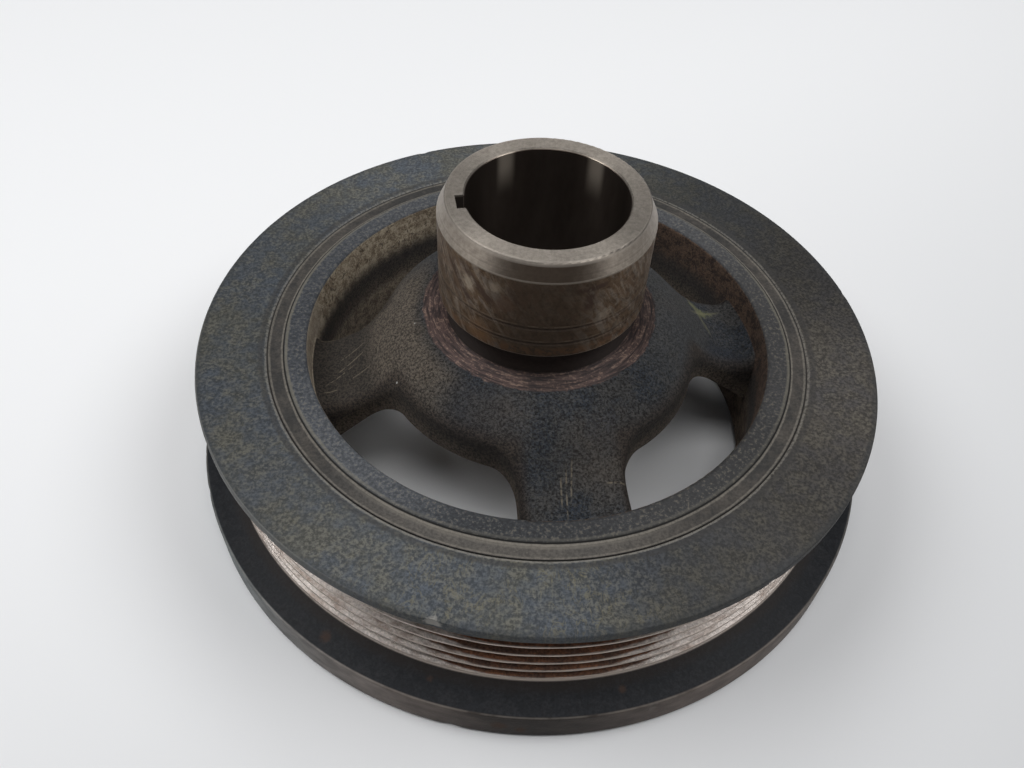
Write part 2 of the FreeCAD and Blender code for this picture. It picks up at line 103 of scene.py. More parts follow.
class Graph:
    """The nodes of one material, with the point's place in millimetres ready to use."""

    def __init__(self, name: str) -> None:
        """Make an empty material and the wires for place, radius and direction round the axis.

        Args:
            name: the material's name.
        """
        self.material = bpy.data.materials.new(name)
        self.material.use_nodes = True
        self.tree = self.material.node_tree
        self.tree.nodes.clear()
        place = self.node("ShaderNodeTexCoord").outputs["Object"]
        scaled = self.node("ShaderNodeVectorMath", operation="SCALE")
        self.tree.links.new(place, scaled.inputs[0])
        scaled.inputs["Scale"].default_value = 1 / MM
        self.point = Wire(self, scaled.outputs["Vector"])
        split = self.node("ShaderNodeSeparateXYZ")
        self.feed(split.inputs[0], self.point)
        self.x, self.y, self.z = (Wire(self, output) for output in split.outputs)
        self.radius = self.math("SQRT", self.x * self.x + self.y * self.y)
        self.angle = self.math("DEGREES", self.math("ARCTAN2", self.y, self.x))

    def node(self, kind: str, **settings: object) -> bpy.types.Node:
        """A new node with some of its settings made.

        Args:
            kind: the node's type.
            settings: its attributes and their values.

        Returns:
            The node.
        """
        made = self.tree.nodes.new(kind)
        for name, value in settings.items():
            setattr(made, name, value)
        return made

    def feed(self, socket: bpy.types.NodeSocket, value: Union[Value, Paint]) -> None:
        """Link a wire to an input, or set the input's own value.

        Args:
            socket: the input.
            value: a wire, a number or a colour.
        """
        if isinstance(value, Wire):
            self.tree.links.new(value.socket, socket)
        elif isinstance(value, tuple) and socket.type == "RGBA":
            socket.default_value = (*value, 1.0)
        else:
            socket.default_value = value

    def math(self, operation: str, first: Value, second: Value = 0.0) -> Wire:
        """One step of arithmetic.

        Args:
            operation: the Math node's operation.
            first: the first number.
            second: the second number, where there is one.

        Returns:
            The result.
        """
        made = self.node("ShaderNodeMath", operation=operation)
        self.feed(made.inputs[0], first)
        self.feed(made.inputs[1], second)
        return Wire(self, made.outputs[0])

    def step(self, value: Wire, edge: float, soft: float) -> Wire:
        """A smooth rise from 0 to 1 as a value passes an edge.

        Args:
            value: the value.
            edge: where the rise is half done.
            soft: the width of the rise.

        Returns:
            The mask.
        """
        made = self.node("ShaderNodeMapRange", interpolation_type="SMOOTHSTEP")
        self.feed(made.inputs["Value"], value)
        made.inputs["From Min"].default_value = edge - soft / 2
        made.inputs["From Max"].default_value = edge + soft / 2
        return Wire(self, made.outputs["Result"])

    def below(self, value: Wire, edge: float, soft: float) -> Wire:
        """A smooth fall from 1 to 0 as a value passes an edge, over a width of soft."""
        return 1.0 - self.step(value, edge, soft)

    def band(self, value: Wire, low: float, high: float, soft: float) -> Wire:
        """1 where a value is between low and high, with soft borders."""
        return self.step(value, low, soft) * self.below(value, high, soft)

    def vector(self, x: Value, y: Value, z: Value) -> Wire:
        """A vector from three numbers.

        Args:
            x: the first number.
            y: the second number.
            z: the third number.

        Returns:
            The vector.
        """
        made = self.node("ShaderNodeCombineXYZ")
        for socket, value in zip(made.inputs, (x, y, z)):
            self.feed(socket, value)
        return Wire(self, made.outputs[0])

    def noise(self, size: float, detail: float = 2.0, rough: float = 0.5, swirl: float = 0.0,
              at: Optional[Wire] = None) -> Wire:
        """Smooth noise about 0.5.

        Args:
            size: the size of its blobs in millimetres.
            detail: how many finer layers it has.
            rough: how strong the finer layers are.
            swirl: how far it is bent.
            at: where it is read, or the point itself.

        Returns:
            The noise value.
        """
        made = self.node("ShaderNodeTexNoise")
        self.feed(made.inputs["Vector"], at or self.point)
        made.inputs["Scale"].default_value = 1 / size
        made.inputs["Detail"].default_value = detail
        made.inputs["Roughness"].default_value = rough
        made.inputs["Distortion"].default_value = swirl
        return Wire(self, made.outputs["Fac"])

    def rings(self, size: float, along: Wire, detail: float = 3.0) -> Wire:
        """A tool's turning marks: noise that changes along one measure only."""
        return self.noise(size, detail, 0.6, at=self.vector(along, 0.0, 0.0))

    def facing(self, azimuth: float) -> Wire:
        """How far a point lies towards an azimuth in degrees: 1 there, -1 on the far side."""
        lean = math.radians(azimuth)
        return (self.x * math.cos(lean) + self.y * math.sin(lean)) / self.radius

    def sector(self, azimuth: float, spread: float) -> Wire:
        """1 at an azimuth in degrees, easing to 0 at spread degrees to either side of it."""
        fade = math.cos(math.radians(spread))
        return self.step(self.facing(azimuth), (1 + fade) / 2, 1 - fade)

    def spot(self, centre: Place, size: float, soft: float = 0.6, ragged: float = 0.0) -> Wire:
        """1 within a ball round a place, with a soft and perhaps ragged border.

        Args:
            centre: the place in millimetres.
            size: the ball's radius.
            soft: the border's width as a share of the radius.
            ragged: how far noise moves the border, in radii.

        Returns:
            The mask.
        """
        away = self.node("ShaderNodeVectorMath", operation="DISTANCE")
        self.feed(away.inputs[0], self.point)
        away.inputs[1].default_value = centre
        distance = Wire(self, away.outputs["Value"]) / size
        if ragged:
            distance = distance + (self.noise(size * 0.5, 3.0, 0.6) - 0.5) * (2 * ragged)
        return self.below(distance, 1.0, soft)

    def streak(self, start: Sequence[float], end: Sequence[float], width: float) -> Wire:
        """1 along a straight scratch between two places, thinning towards its sides.

        Two ends without a height make it in plan, so that it lies on whatever is there. With a point's
        offset from the start as o and the unit direction as d, it reaches o . d along the scratch and
        lies sqrt(o . o - (o . d)^2) aside of it.

        Args:
            start: one end in millimetres.
            end: the other end.
            width: the scratch's half width.

        Returns:
            The mask.
        """
        in_plan = len(start) == 2
        place = self.vector(self.x, self.y, 0.0) if in_plan else self.point
        first, last = (np.array([*corner, 0.0][:3]) for corner in (start, end))
        length = float(np.linalg.norm(last - first))
        offset = self.node("ShaderNodeVectorMath", operation="SUBTRACT")
        self.feed(offset.inputs[0], place)
        offset.inputs[1].default_value = tuple(first)
        dot = self.node("ShaderNodeVectorMath", operation="DOT_PRODUCT")
        self.tree.links.new(offset.outputs["Vector"], dot.inputs[0])
        dot.inputs[1].default_value = tuple((last - first) / length)
        span = self.node("ShaderNodeVectorMath", operation="LENGTH")
        self.tree.links.new(offset.outputs["Vector"], span.inputs[0])
        reach = Wire(self, dot.outputs["Value"])
        far = Wire(self, span.outputs["Value"])
        aside = self.math("SQRT", self.math("MAXIMUM", far * far - reach * reach, 0.0))
        return self.below(aside, width, width) * self.band(reach, 0.0, length, length * 0.3)

    def mix(self, factor: Value, low: Paint, high: Paint) -> Wire:
        """A colour between two colours.

        Args:
            factor: how far it goes, from 0 to 1.
            low: the colour at 0.
            high: the colour at 1.

        Returns:
            The colour.
        """
        made = self.node("ShaderNodeMix", data_type="RGBA")
        self.feed(made.inputs[0], factor)
        self.feed(made.inputs[6], low)
        self.feed(made.inputs[7], high)
        return Wire(self, made.outputs[2])

    def blend(self, factor: Value, low: Value, high: Value) -> Wire:
        """A number between two numbers.

        Args:
            factor: how far it goes, from 0 to 1.
            low: the number at 0.
            high: the number at 1.

        Returns:
            The number.
        """
        made = self.node("ShaderNodeMix", data_type="FLOAT")
        self.feed(made.inputs[0], factor)
        self.feed(made.inputs[2], low)
        self.feed(made.inputs[3], high)
        return Wire(self, made.outputs[0])

    def scale(self, colour: Paint, amount: Value) -> Wire:
        """A colour made lighter or darker.

        Args:
            colour: the colour.
            amount: the factor on it.

        Returns:
            The changed colour.
        """
        made = self.node("ShaderNodeVectorMath", operation="SCALE")
        self.feed(made.inputs[0], colour)
        self.feed(made.inputs["Scale"], amount)
        return Wire(self, made.outputs["Vector"])


@dataclass
class Skin:
    """The look of a surface while it is put together: colour, roughness, metal and fine height."""

    graph: Graph
    colour: Paint
    rough: Value = 0.6
    metal: Value = 0.0
    height: Value = 0.0
    brushed: float = 0.0
    gloss: float = 0.5

    def coat(self, mask: Wire, colour: Optional[Paint] = None, rough: Optional[Value] = None,
             metal: Optional[Value] = None, height: Optional[Value] = None) -> None:
        """Lay another finish over this one where the mask is 1.

        Args:
            mask: where the new finish lies.
            colour: its colour, or none to keep what is there.
            rough: its roughness, or none.
            metal: how metallic it is, or none.
            height: its fine height in millimetres, or none.
        """
        graph = self.graph
        if colour is not None:
            self.colour = graph.mix(mask, self.colour, colour)
        if rough is not None:
            self.rough = graph.blend(mask, self.rough, rough)
        if metal is not None:
            self.metal = graph.blend(mask, self.metal, metal)
        if height is not None:
            self.height = graph.blend(mask, self.height, height)

    def material(self) -> bpy.types.Material:
        """Join the finished skin to a shader.

        Returns:
            The material.
        """
        graph = self.graph
        shader = graph.node("ShaderNodeBsdfPrincipled")
        graph.feed(shader.inputs["Base Color"], self.colour)
        graph.feed(shader.inputs["Roughness"], self.rough)
        graph.feed(shader.inputs["Metallic"], self.metal)
        shader.inputs["Specular IOR Level"].default_value = self.gloss
        # turned faces are brushed round the axis, so their gloss spreads across the tool's rings
        shader.inputs["Anisotropic"].default_value = self.brushed
        shader.inputs["Anisotropic Rotation"].default_value = 0.25
        if self.brushed:
            graph.feed(shader.inputs["Tangent"], graph.vector(0.0 - graph.y, graph.x, 0.0))
        bump = graph.node("ShaderNodeBump")
        bump.inputs["Strength"].default_value = 1.0
        bump.inputs["Distance"].default_value = MM
        graph.feed(bump.inputs["Height"], self.height)
        graph.tree.links.new(bump.outputs["Normal"], shader.inputs["Normal"])
        output = graph.node("ShaderNodeOutputMaterial")
        graph.tree.links.new(shader.outputs["BSDF"], output.inputs["Surface"])
        return graph.material


@dataclass(frozen=True)
class WornCoat:
    """The thin dark coat on the belt ring, mottled by oil and heat, with rusty grooves worn bright, partly
    as painted highlight.

    Rust spots are given as (radius, azimuth, height, size).
    """

    blue: Colour = (0.050, 0.058, 0.069)
    olive: Colour = (0.064, 0.064, 0.056)
    brown: Colour = (0.070, 0.058, 0.049)
    dust: Colour = (0.140, 0.130, 0.104)
    thread: Colour = (0.175, 0.155, 0.095)
    pale: Colour = (0.230, 0.215, 0.190)
    bevel_shade: Colour = (0.040, 0.038, 0.037)
    dark_edge: Colour = (0.030, 0.033, 0.036)
    rubbed: Colour = (0.20, 0.20, 0.19)
    chipped: Colour = (0.26, 0.25, 0.23)
    rust: Pair = ((0.105, 0.046, 0.024), (0.050, 0.030, 0.022))
    steel: Pair = ((0.66, 0.61, 0.57), (0.36, 0.29, 0.25))
    crest: Colour = (0.62, 0.53, 0.46)
    night: Pair = ((0.010, 0.0115, 0.0145), (0.019, 0.020, 0.023))
    oily: Colour = (0.034, 0.025, 0.020)
    rim: Pair = ((0.054, 0.059, 0.060), (0.058, 0.047, 0.041))
    rim_line: Colour = (0.20, 0.185, 0.165)
    rust_spot: Colour = (0.085, 0.048, 0.032)
    turned: Pair = ((0.06, 0.055, 0.05), (0.13, 0.12, 0.11))
    bore: Colour = (0.06, 0.05, 0.042)
    rust_spots: Tuple[Tuple[float, float, float, float], ...] = (
        (80.6, 240.4, 9.8, 1.1),
        (83.8, 269.0, 5.0, 1.5),
        (83.8, 272.0, 3.6, 1.1),
        (79.4, 287.0, 9.9, 0.8),
        (79.0, 258.0, 9.9, 0.7),
    )

    def material(self, ring: "BeltRing") -> bpy.types.Material:
        """The ring's material.

        Args:
            ring: the ring, for the places of its faces.

        Returns:
            The material.
        """
        graph = Graph("belt_ring_coat")
        patches = graph.noise(19.0, 3.0, 0.6, 0.4)
        mottle = graph.noise(2.8, 3.0, 0.7)
        grain = graph.noise(0.7, 2.0, 0.8)
        base = graph.mix(graph.step(patches * 0.6 + mottle * 0.4, 0.5, 0.24), self.blue, self.olive)
        base = graph.mix(graph.sector(350.0, 75.0) * 0.6, base, self.brown)
        dusty = graph.step(mottle, 0.54, 0.16) * graph.step(grain, 0.50, 0.25)
        base = graph.mix(dusty * 0.22, base, self.dust)
        base = graph.scale(base, graph.step(grain, 0.5, 0.30) * 0.80 + 0.60)
        # painted light: the flat face is painted brighter at the front and rear left, and darker at the
        # right front and rear right
        painted_light = graph.sector(262.0, 35.0) * 0.30 + graph.sector(118.0, 38.0) * 0.30 + 1.0
        painted_light = painted_light * 0.96 - graph.sector(310.0, 34.0) * 0.36 - graph.sector(38.0, 44.0) * 0.56
        base = graph.scale(base, painted_light)
        fine = (grain - 0.5) * 0.05 + (mottle - 0.5) * 0.06
        skin = Skin(graph, base, 0.56 + (mottle - 0.5) * 0.3, 0.0, fine, brushed=0.8, gloss=0.3)
        self._threads(graph, skin)
        self._top_borders(graph, skin, ring, grain)
        self._grooves(graph, skin, ring)
        self._lower_flange(graph, skin, ring, mottle, grain)
        self._lower_rim(graph, skin, ring)
        self._turned_faces(graph, skin, ring)
        return skin.material()

    def _threads(self, graph: Graph, skin: Skin) -> None:
        """Fine tan threads running outwards over the front of the flat face.

        They lie where noise, drawn out along the radius, crosses its middle value.

        Args:
            graph: the material's nodes.
            skin: the skin to add them to.
        """
        along = graph.vector(graph.angle * 1.25, graph.radius * 0.45, 0.0)
        crossing = graph.math("ABSOLUTE", graph.noise(2.4, 4.0, 0.62, 1.0, at=along) - 0.5)
        place = graph.sector(270.0, 26.0) * 0.42 + graph.sector(225.0, 40.0) * 0.10 + 0.05
        broken = graph.step(graph.noise(5.0, 2.0, 0.6), 0.47, 0.14)
        skin.coat(graph.below(crossing, 0.016, 0.026) * place * broken, self.thread)

    def _top_borders(self, graph: Graph, skin: Skin, ring: "BeltRing", grain: Wire) -> None:
        """Painted highlight low on the bevel beside the rubber, painted shade at the bevel's top, painted
        highlight round the outer edge at the left, pale chip.

        Args:
            graph: the material's nodes.
            skin: the skin to add them to.
            ring: the ring, for the places of its edges.
            grain: the coat's fine grain.
        """
        radius, z = graph.radius, graph.z
        upper = graph.step(z, ring.height - 1.5, 0.4)
        wander = radius + (graph.noise(7.0, 3.0, 0.6) - 0.5) * 0.5
        # painted shade: a dark band round the top of the bevel
        skin.coat(upper * graph.band(wander, ring.bore + 0.9, ring.bore + 2.1, 0.6) * 0.55, self.bevel_shade, 0.7)
        # painted highlight: a pale line low on the bevel beside the rubber, strongest at the front
        broken = graph.step(grain, 0.44, 0.25) * 0.35 + graph.sector(262.0, 70.0) * 0.30 + 0.12
        line = graph.band(wander, ring.bore + 0.15, ring.bore + 0.65, 0.30)
        skin.coat(upper * line * broken, self.pale, 0.75)
        outer = graph.step(radius, ring.upper_flange - 1.1, 1.2) * graph.step(z, ring.height - 3.4, 0.4)
        skin.coat(outer * 0.45, self.dark_edge, 0.6)
        # painted highlight: a pale line along the outer top edge at the left, where the edge is lit
        edge = graph.step(radius, ring.upper_flange - 0.35, 0.2) * graph.step(z, ring.height - 2.6, 0.2)
        skin.coat(edge * graph.sector(205.0, 50.0) * 0.55, self.rubbed, 0.5, 0.3)
        chip = around(ring.upper_flange, ring.chips[0].azimuth, ring.chips[0].height)
        skin.coat(graph.spot(chip, 1.5, 0.5, 0.5) * graph.step(z, ring.height - 1.9, 0.2), self.chipped, 0.6)

    def _grooves(self, graph: Graph, skin: Skin, ring: "BeltRing") -> None:
        """Rust-brown grooves with thin bare crests, worn bright to their depth at two sides, which is partly
        wear and partly painted highlight.

        Args:
            graph: the material's nodes.
            skin: the skin to add them to.
            ring: the ring, for the grooves' place.
        """
        radius, z = graph.radius, graph.z
        zone = graph.band(z, ring.last_crest - 0.7, ring.first_crest + 0.9, 0.5)
        zone = zone * graph.below(radius, ring.crest + 0.7, 0.6)
        film = graph.noise(1.0, 4.0, 0.65, at=graph.vector(graph.angle * 0.22, z * 1.1, 0.0))
        pits = graph.noise(0.6, 3.0, 0.7)
        rust = graph.mix(graph.step(film, 0.5, 0.3), *self.rust)
        rust = graph.scale(rust, graph.step(pits, 0.5, 0.4) * 1.9 + 1.3)
        skin.coat(zone, rust, 0.66, 0.15, (pits - 0.5) * 0.10)
        # bare bright steel at the left and right: partly wear, partly painted highlight where the side lamps
        # reflect
        polish_and_highlight = graph.sector(230.0, 38.0) + graph.sector(316.0, 34.0) * 0.70
        depth = ring.crest - radius + (film - 0.5) * (polish_and_highlight * 1.6 + 0.4) + (pits - 0.5) * 0.4
        bare = graph.below(depth - polish_and_highlight * 1.9, 0.16, 0.45)
        silver = graph.mix(graph.step(film, 0.54, 0.3), *self.steel)
        silver = graph.scale(silver, graph.step(pits, 0.5, 0.5) * 0.5 + 0.65)
        skin.coat(zone * bare * 0.9, silver, 0.38, 0.92)
        crest = graph.step(radius + (pits - 0.5) * 0.2, ring.crest - 0.14, 0.14)
        skin.coat(zone * crest * (1.0 - polish_and_highlight * 0.6) * 0.90, self.crest, 0.45, 0.35)

    def _lower_flange(self, graph: Graph, skin: Skin, ring: "BeltRing", mottle: Wire, grain: Wire) -> None:
        """Blue-black upper side of the lower flange, browner beside the grooves.

        Args:
            graph: the material's nodes.
            skin: the skin to add it to.
            ring: the ring, for the flange's place.
            mottle: the coat's blotches.
            grain: the coat's fine grain.
        """
        lower = graph.below(graph.z, ring.last_crest - 0.55, 0.3)
        night = graph.mix(graph.step(mottle, 0.52, 0.3), *self.night)
        night = graph.scale(night, graph.step(grain, 0.5, 0.4) * 0.5 + 0.75)
        skin.coat(lower, night, 0.62 + (mottle - 0.5) * 0.25, 0.0)
        inner = graph.below(graph.radius + (mottle - 0.5) * 2.0, ring.crest + 2.0, 2.4)
        skin.coat(lower * inner * 0.5, self.oily, 0.7)

    def _lower_rim(self, graph: Graph, skin: Skin, ring: "BeltRing") -> None:
        """The lower flange's paler rim, painted brighter at the left front and right front, a painted
        highlight line round its edge, and rust spots.

        Args:
            graph: the material's nodes.
            skin: the skin to add them to.
            ring: the ring, for the flange's place.
        """
        radius, z = graph.radius, graph.z
        lower = graph.below(z, ring.last_crest - 0.55, 0.3)
        drawn = graph.noise(2.2, 3.0, 0.6, at=graph.vector(graph.angle * 0.5, z * 0.7, 0.0))
        coat = graph.mix(graph.sector(285.0, 70.0), *self.rim)
        # painted light: the rim is painted brighter at the left front and right front, where the side lamps
        # fall
        coat = graph.scale(coat, graph.sector(233.0, 38.0) * 2.7 + graph.sector(312.0, 36.0) * 1.7 + 0.60)
        coat = graph.scale(coat, graph.step(drawn, 0.5, 0.5) * 0.6 + 0.7)
        skin.coat(graph.step(radius, ring.lower_flange - 0.45, 0.4) * lower, coat, 0.55, 0.25)
        # painted highlight: a thin pale line round the rim's upper edge
        line = graph.band(radius, ring.lower_flange - 0.42, ring.lower_flange - 0.12, 0.12)
        line = line * graph.step(z, 6.0, 1.0) * lower * graph.step(drawn, 0.42, 0.2)
        skin.coat(line * 0.35, self.rim_line, 0.4, 0.5)
        for reach, azimuth, height, size in self.rust_spots:
            spot = graph.spot(around(reach, azimuth, height), size, 1.1, 0.6)
            skin.coat(spot * 0.5, self.rust_spot, 0.8)

    def _turned_faces(self, graph: Graph, skin: Skin, ring: "BeltRing") -> None:
        """The turned foot that the part stands on, and the ring's bore.

        Args:
            graph: the material's nodes.
            skin: the skin to add them to.
            ring: the ring, for its bore.
        """
        marks = graph.rings(0.35, graph.radius)
        foot = graph.below(graph.z, 0.25, 0.2)
        skin.coat(foot, graph.mix(marks, *self.turned), 0.45, 0.5, marks * 0.04)
        skin.coat(graph.below(graph.radius, ring.bore + 0.15, 0.1), self.bore, 0.6, 0.2)


@dataclass(frozen=True)
class DustyRubber:
    """Old rubber with road dust on it, between two thin dark seams."""

    body: Colour = (0.026, 0.0245, 0.023)
    dust: Colour = (0.056, 0.049, 0.042)
    front_dust: Colour = (0.115, 0.104, 0.092)
    pale: Colour = (0.205, 0.185, 0.155)
    seam: Colour = (0.008, 0.007, 0.006)

    def material(self, ring: "RubberRing") -> bpy.types.Material:
        """The rubber's material.

        Args:
            ring: the rubber ring, for its radii.

        Returns:
            The material.
        """
        graph = Graph("rubber_dust")
        mottle = graph.noise(2.6, 4.0, 0.65)
        patches = graph.noise(11.0, 2.0, 0.6)
        grain = graph.noise(0.6, 3.0, 0.7)
        front = graph.sector(265.0, 42.0)
        colour = graph.mix(graph.step(mottle * 0.5 + patches * 0.5, 0.5, 0.2), self.body, self.dust)
        colour = graph.mix(front * 0.55, colour, self.front_dust)
        colour = graph.scale(colour, graph.step(grain, 0.5, 0.4) * 0.6 + 0.7)
        skin = Skin(graph, colour, 0.82, 0.0, (grain - 0.5) * 0.12 + (mottle - 0.5) * 0.12)
        wander = graph.radius + (graph.noise(4.0, 3.0, 0.6) - 0.5) * 0.35
        broken = graph.step(grain, 0.45, 0.3) * 0.35 + 0.30
        inner_line = graph.band(wander, ring.inner + 0.10, ring.inner + 0.55, 0.25)
        skin.coat(inner_line * (broken + front * 0.2), self.pale)
        skin.coat(graph.band(wander, ring.inner + 0.55, ring.inner + 1.1, 0.6) * front * 0.4, self.pale)
        outer_line = graph.band(wander, ring.outer - 0.7, ring.outer - 0.25, 0.25)
        skin.coat(outer_line * broken * 0.8, self.pale)
        skin.coat(graph.band(graph.radius, ring.inner - 0.2, ring.inner + 0.10, 0.05), self.seam)
        skin.coat(graph.band(graph.radius, ring.outer - 0.20, ring.outer + 0.3, 0.06) * 0.95, self.seam)
        return skin.material()


@dataclass(frozen=True)
class HubMarks:
    """Where the hub's scratches, splashes, flecks, stains and painted highlights lie, in millimetres and
    degrees.

    A scratch on the web has two ends in plan. A spot has a place, a radius and a share, and a soft spot
    has the width of its border, in radii, before the share. On the sleeve a place is an azimuth and a
    height, and a streak has two of them, a half width and a share.
    """

    left_spoke: Tuple[Scratch, ...] = (
        ((-53.4, -2.7), (-48.0, -1.4)),
        ((-46.7, -9.3), (-41.9, -5.8)),
        ((-47.0, -13.5), (-42.7, -9.6)),
        ((-48.7, -16.7), (-43.4, -12.0)),
        ((-43.5, -15.9), (-38.6, -13.8)),
        ((-43.4, -10.3), (-40.6, -8.0)),
        ((-48.9, -19.3), (-46.0, -18.4)),
    )
    front_spoke: Tuple[Scratch, ...] = (
        ((8.4, -39.8), (9.5, -48.3)),
        ((9.5, -38.4), (10.0, -44.9)),
        ((7.4, -41.3), (8.1, -46.2)),
        ((17.6, -40.4), (21.8, -39.4)),
    )
    flash: Tuple[Scratch, ...] = (
        ((38.9, -10.0), (44.3, -5.4)),
        ((44.3, -5.4), (48.6, -4.7)),
    )
    splash: Tuple[Spot, ...] = (
        ((41.4, 15.6, 32.6), 1.7, 0.55),
        ((39.6, 17.6, 33.6), 1.3, 0.45),
        ((44.0, 16.8, 31.8), 1.2, 0.35),
    )
    splash_streaks: Tuple[Scratch, ...] = (
        ((37.6, 20.6), (43.2, 8.2)),
        ((38.4, 13.4), (46.4, 18.6)),
    )
    sandy_spots: Tuple[SoftSpot, ...] = (
        ((-7.5, -34.0, 40.5), 7.0, 1.4, 0.7),
        ((17.0, -36.0, 37.0), 7.5, 1.4, 0.7),
    )
    blue_spots: Tuple[SoftSpot, ...] = (
        ((46.5, -1.0, 31.2), 7.0, 0.8, 1.0),
        ((-12.0, -33.0, 41.5), 8.0, 1.2, 0.6),
    )
    white_flecks: Tuple[Place, ...] = (
        (-28.3, -8.5, 44.2),
        (-30.7, -21.7, 38.2),
        (-3.8, -25.1, 45.3),
        (-4.0, -23.15, 56.2),
    )
    sleeve_streaks: Tuple[SleeveStreak, ...] = (
        ((216.5, 69.5), (233.0, 61.5), 0.85, 0.85),
        ((226.0, 71.2), (246.0, 64.2), 1.00, 0.80),
        ((219.0, 64.5), (226.0, 59.5), 0.50, 0.60),
        ((240.0, 70.5), (250.0, 66.0), 0.60, 0.55),
        ((254.0, 70.0), (259.5, 66.0), 0.60, 0.60),
        ((287.0, 69.9), (304.0, 70.4), 0.65, 0.85),
        ((295.7, 70.4), (294.8, 64.6), 1.00, 0.85),
        ((306.0, 54.6), (319.0, 53.6), 0.70, 0.70),
    )
    sleeve_spots: Tuple[SleeveSpot, ...] = (
        ((252.8, 65.2), 2.0, 0.6, (0.110, 0.062, 0.038)),
        ((238.0, 55.2), 2.6, 0.6, (0.200, 0.105, 0.045)),
        # painted highlight on the sleeve's left side
        ((231.5, 67.0), 1.6, 0.5, (0.520, 0.440, 0.340)),
        ((247.0, 69.0), 1.3, 0.4, (0.430, 0.350, 0.260)),
        ((305.0, 62.0), 1.6, 0.4, (0.380, 0.320, 0.250)),
    )
    bore_highlights: Tuple[float, ...] = (55.0, 125.0)


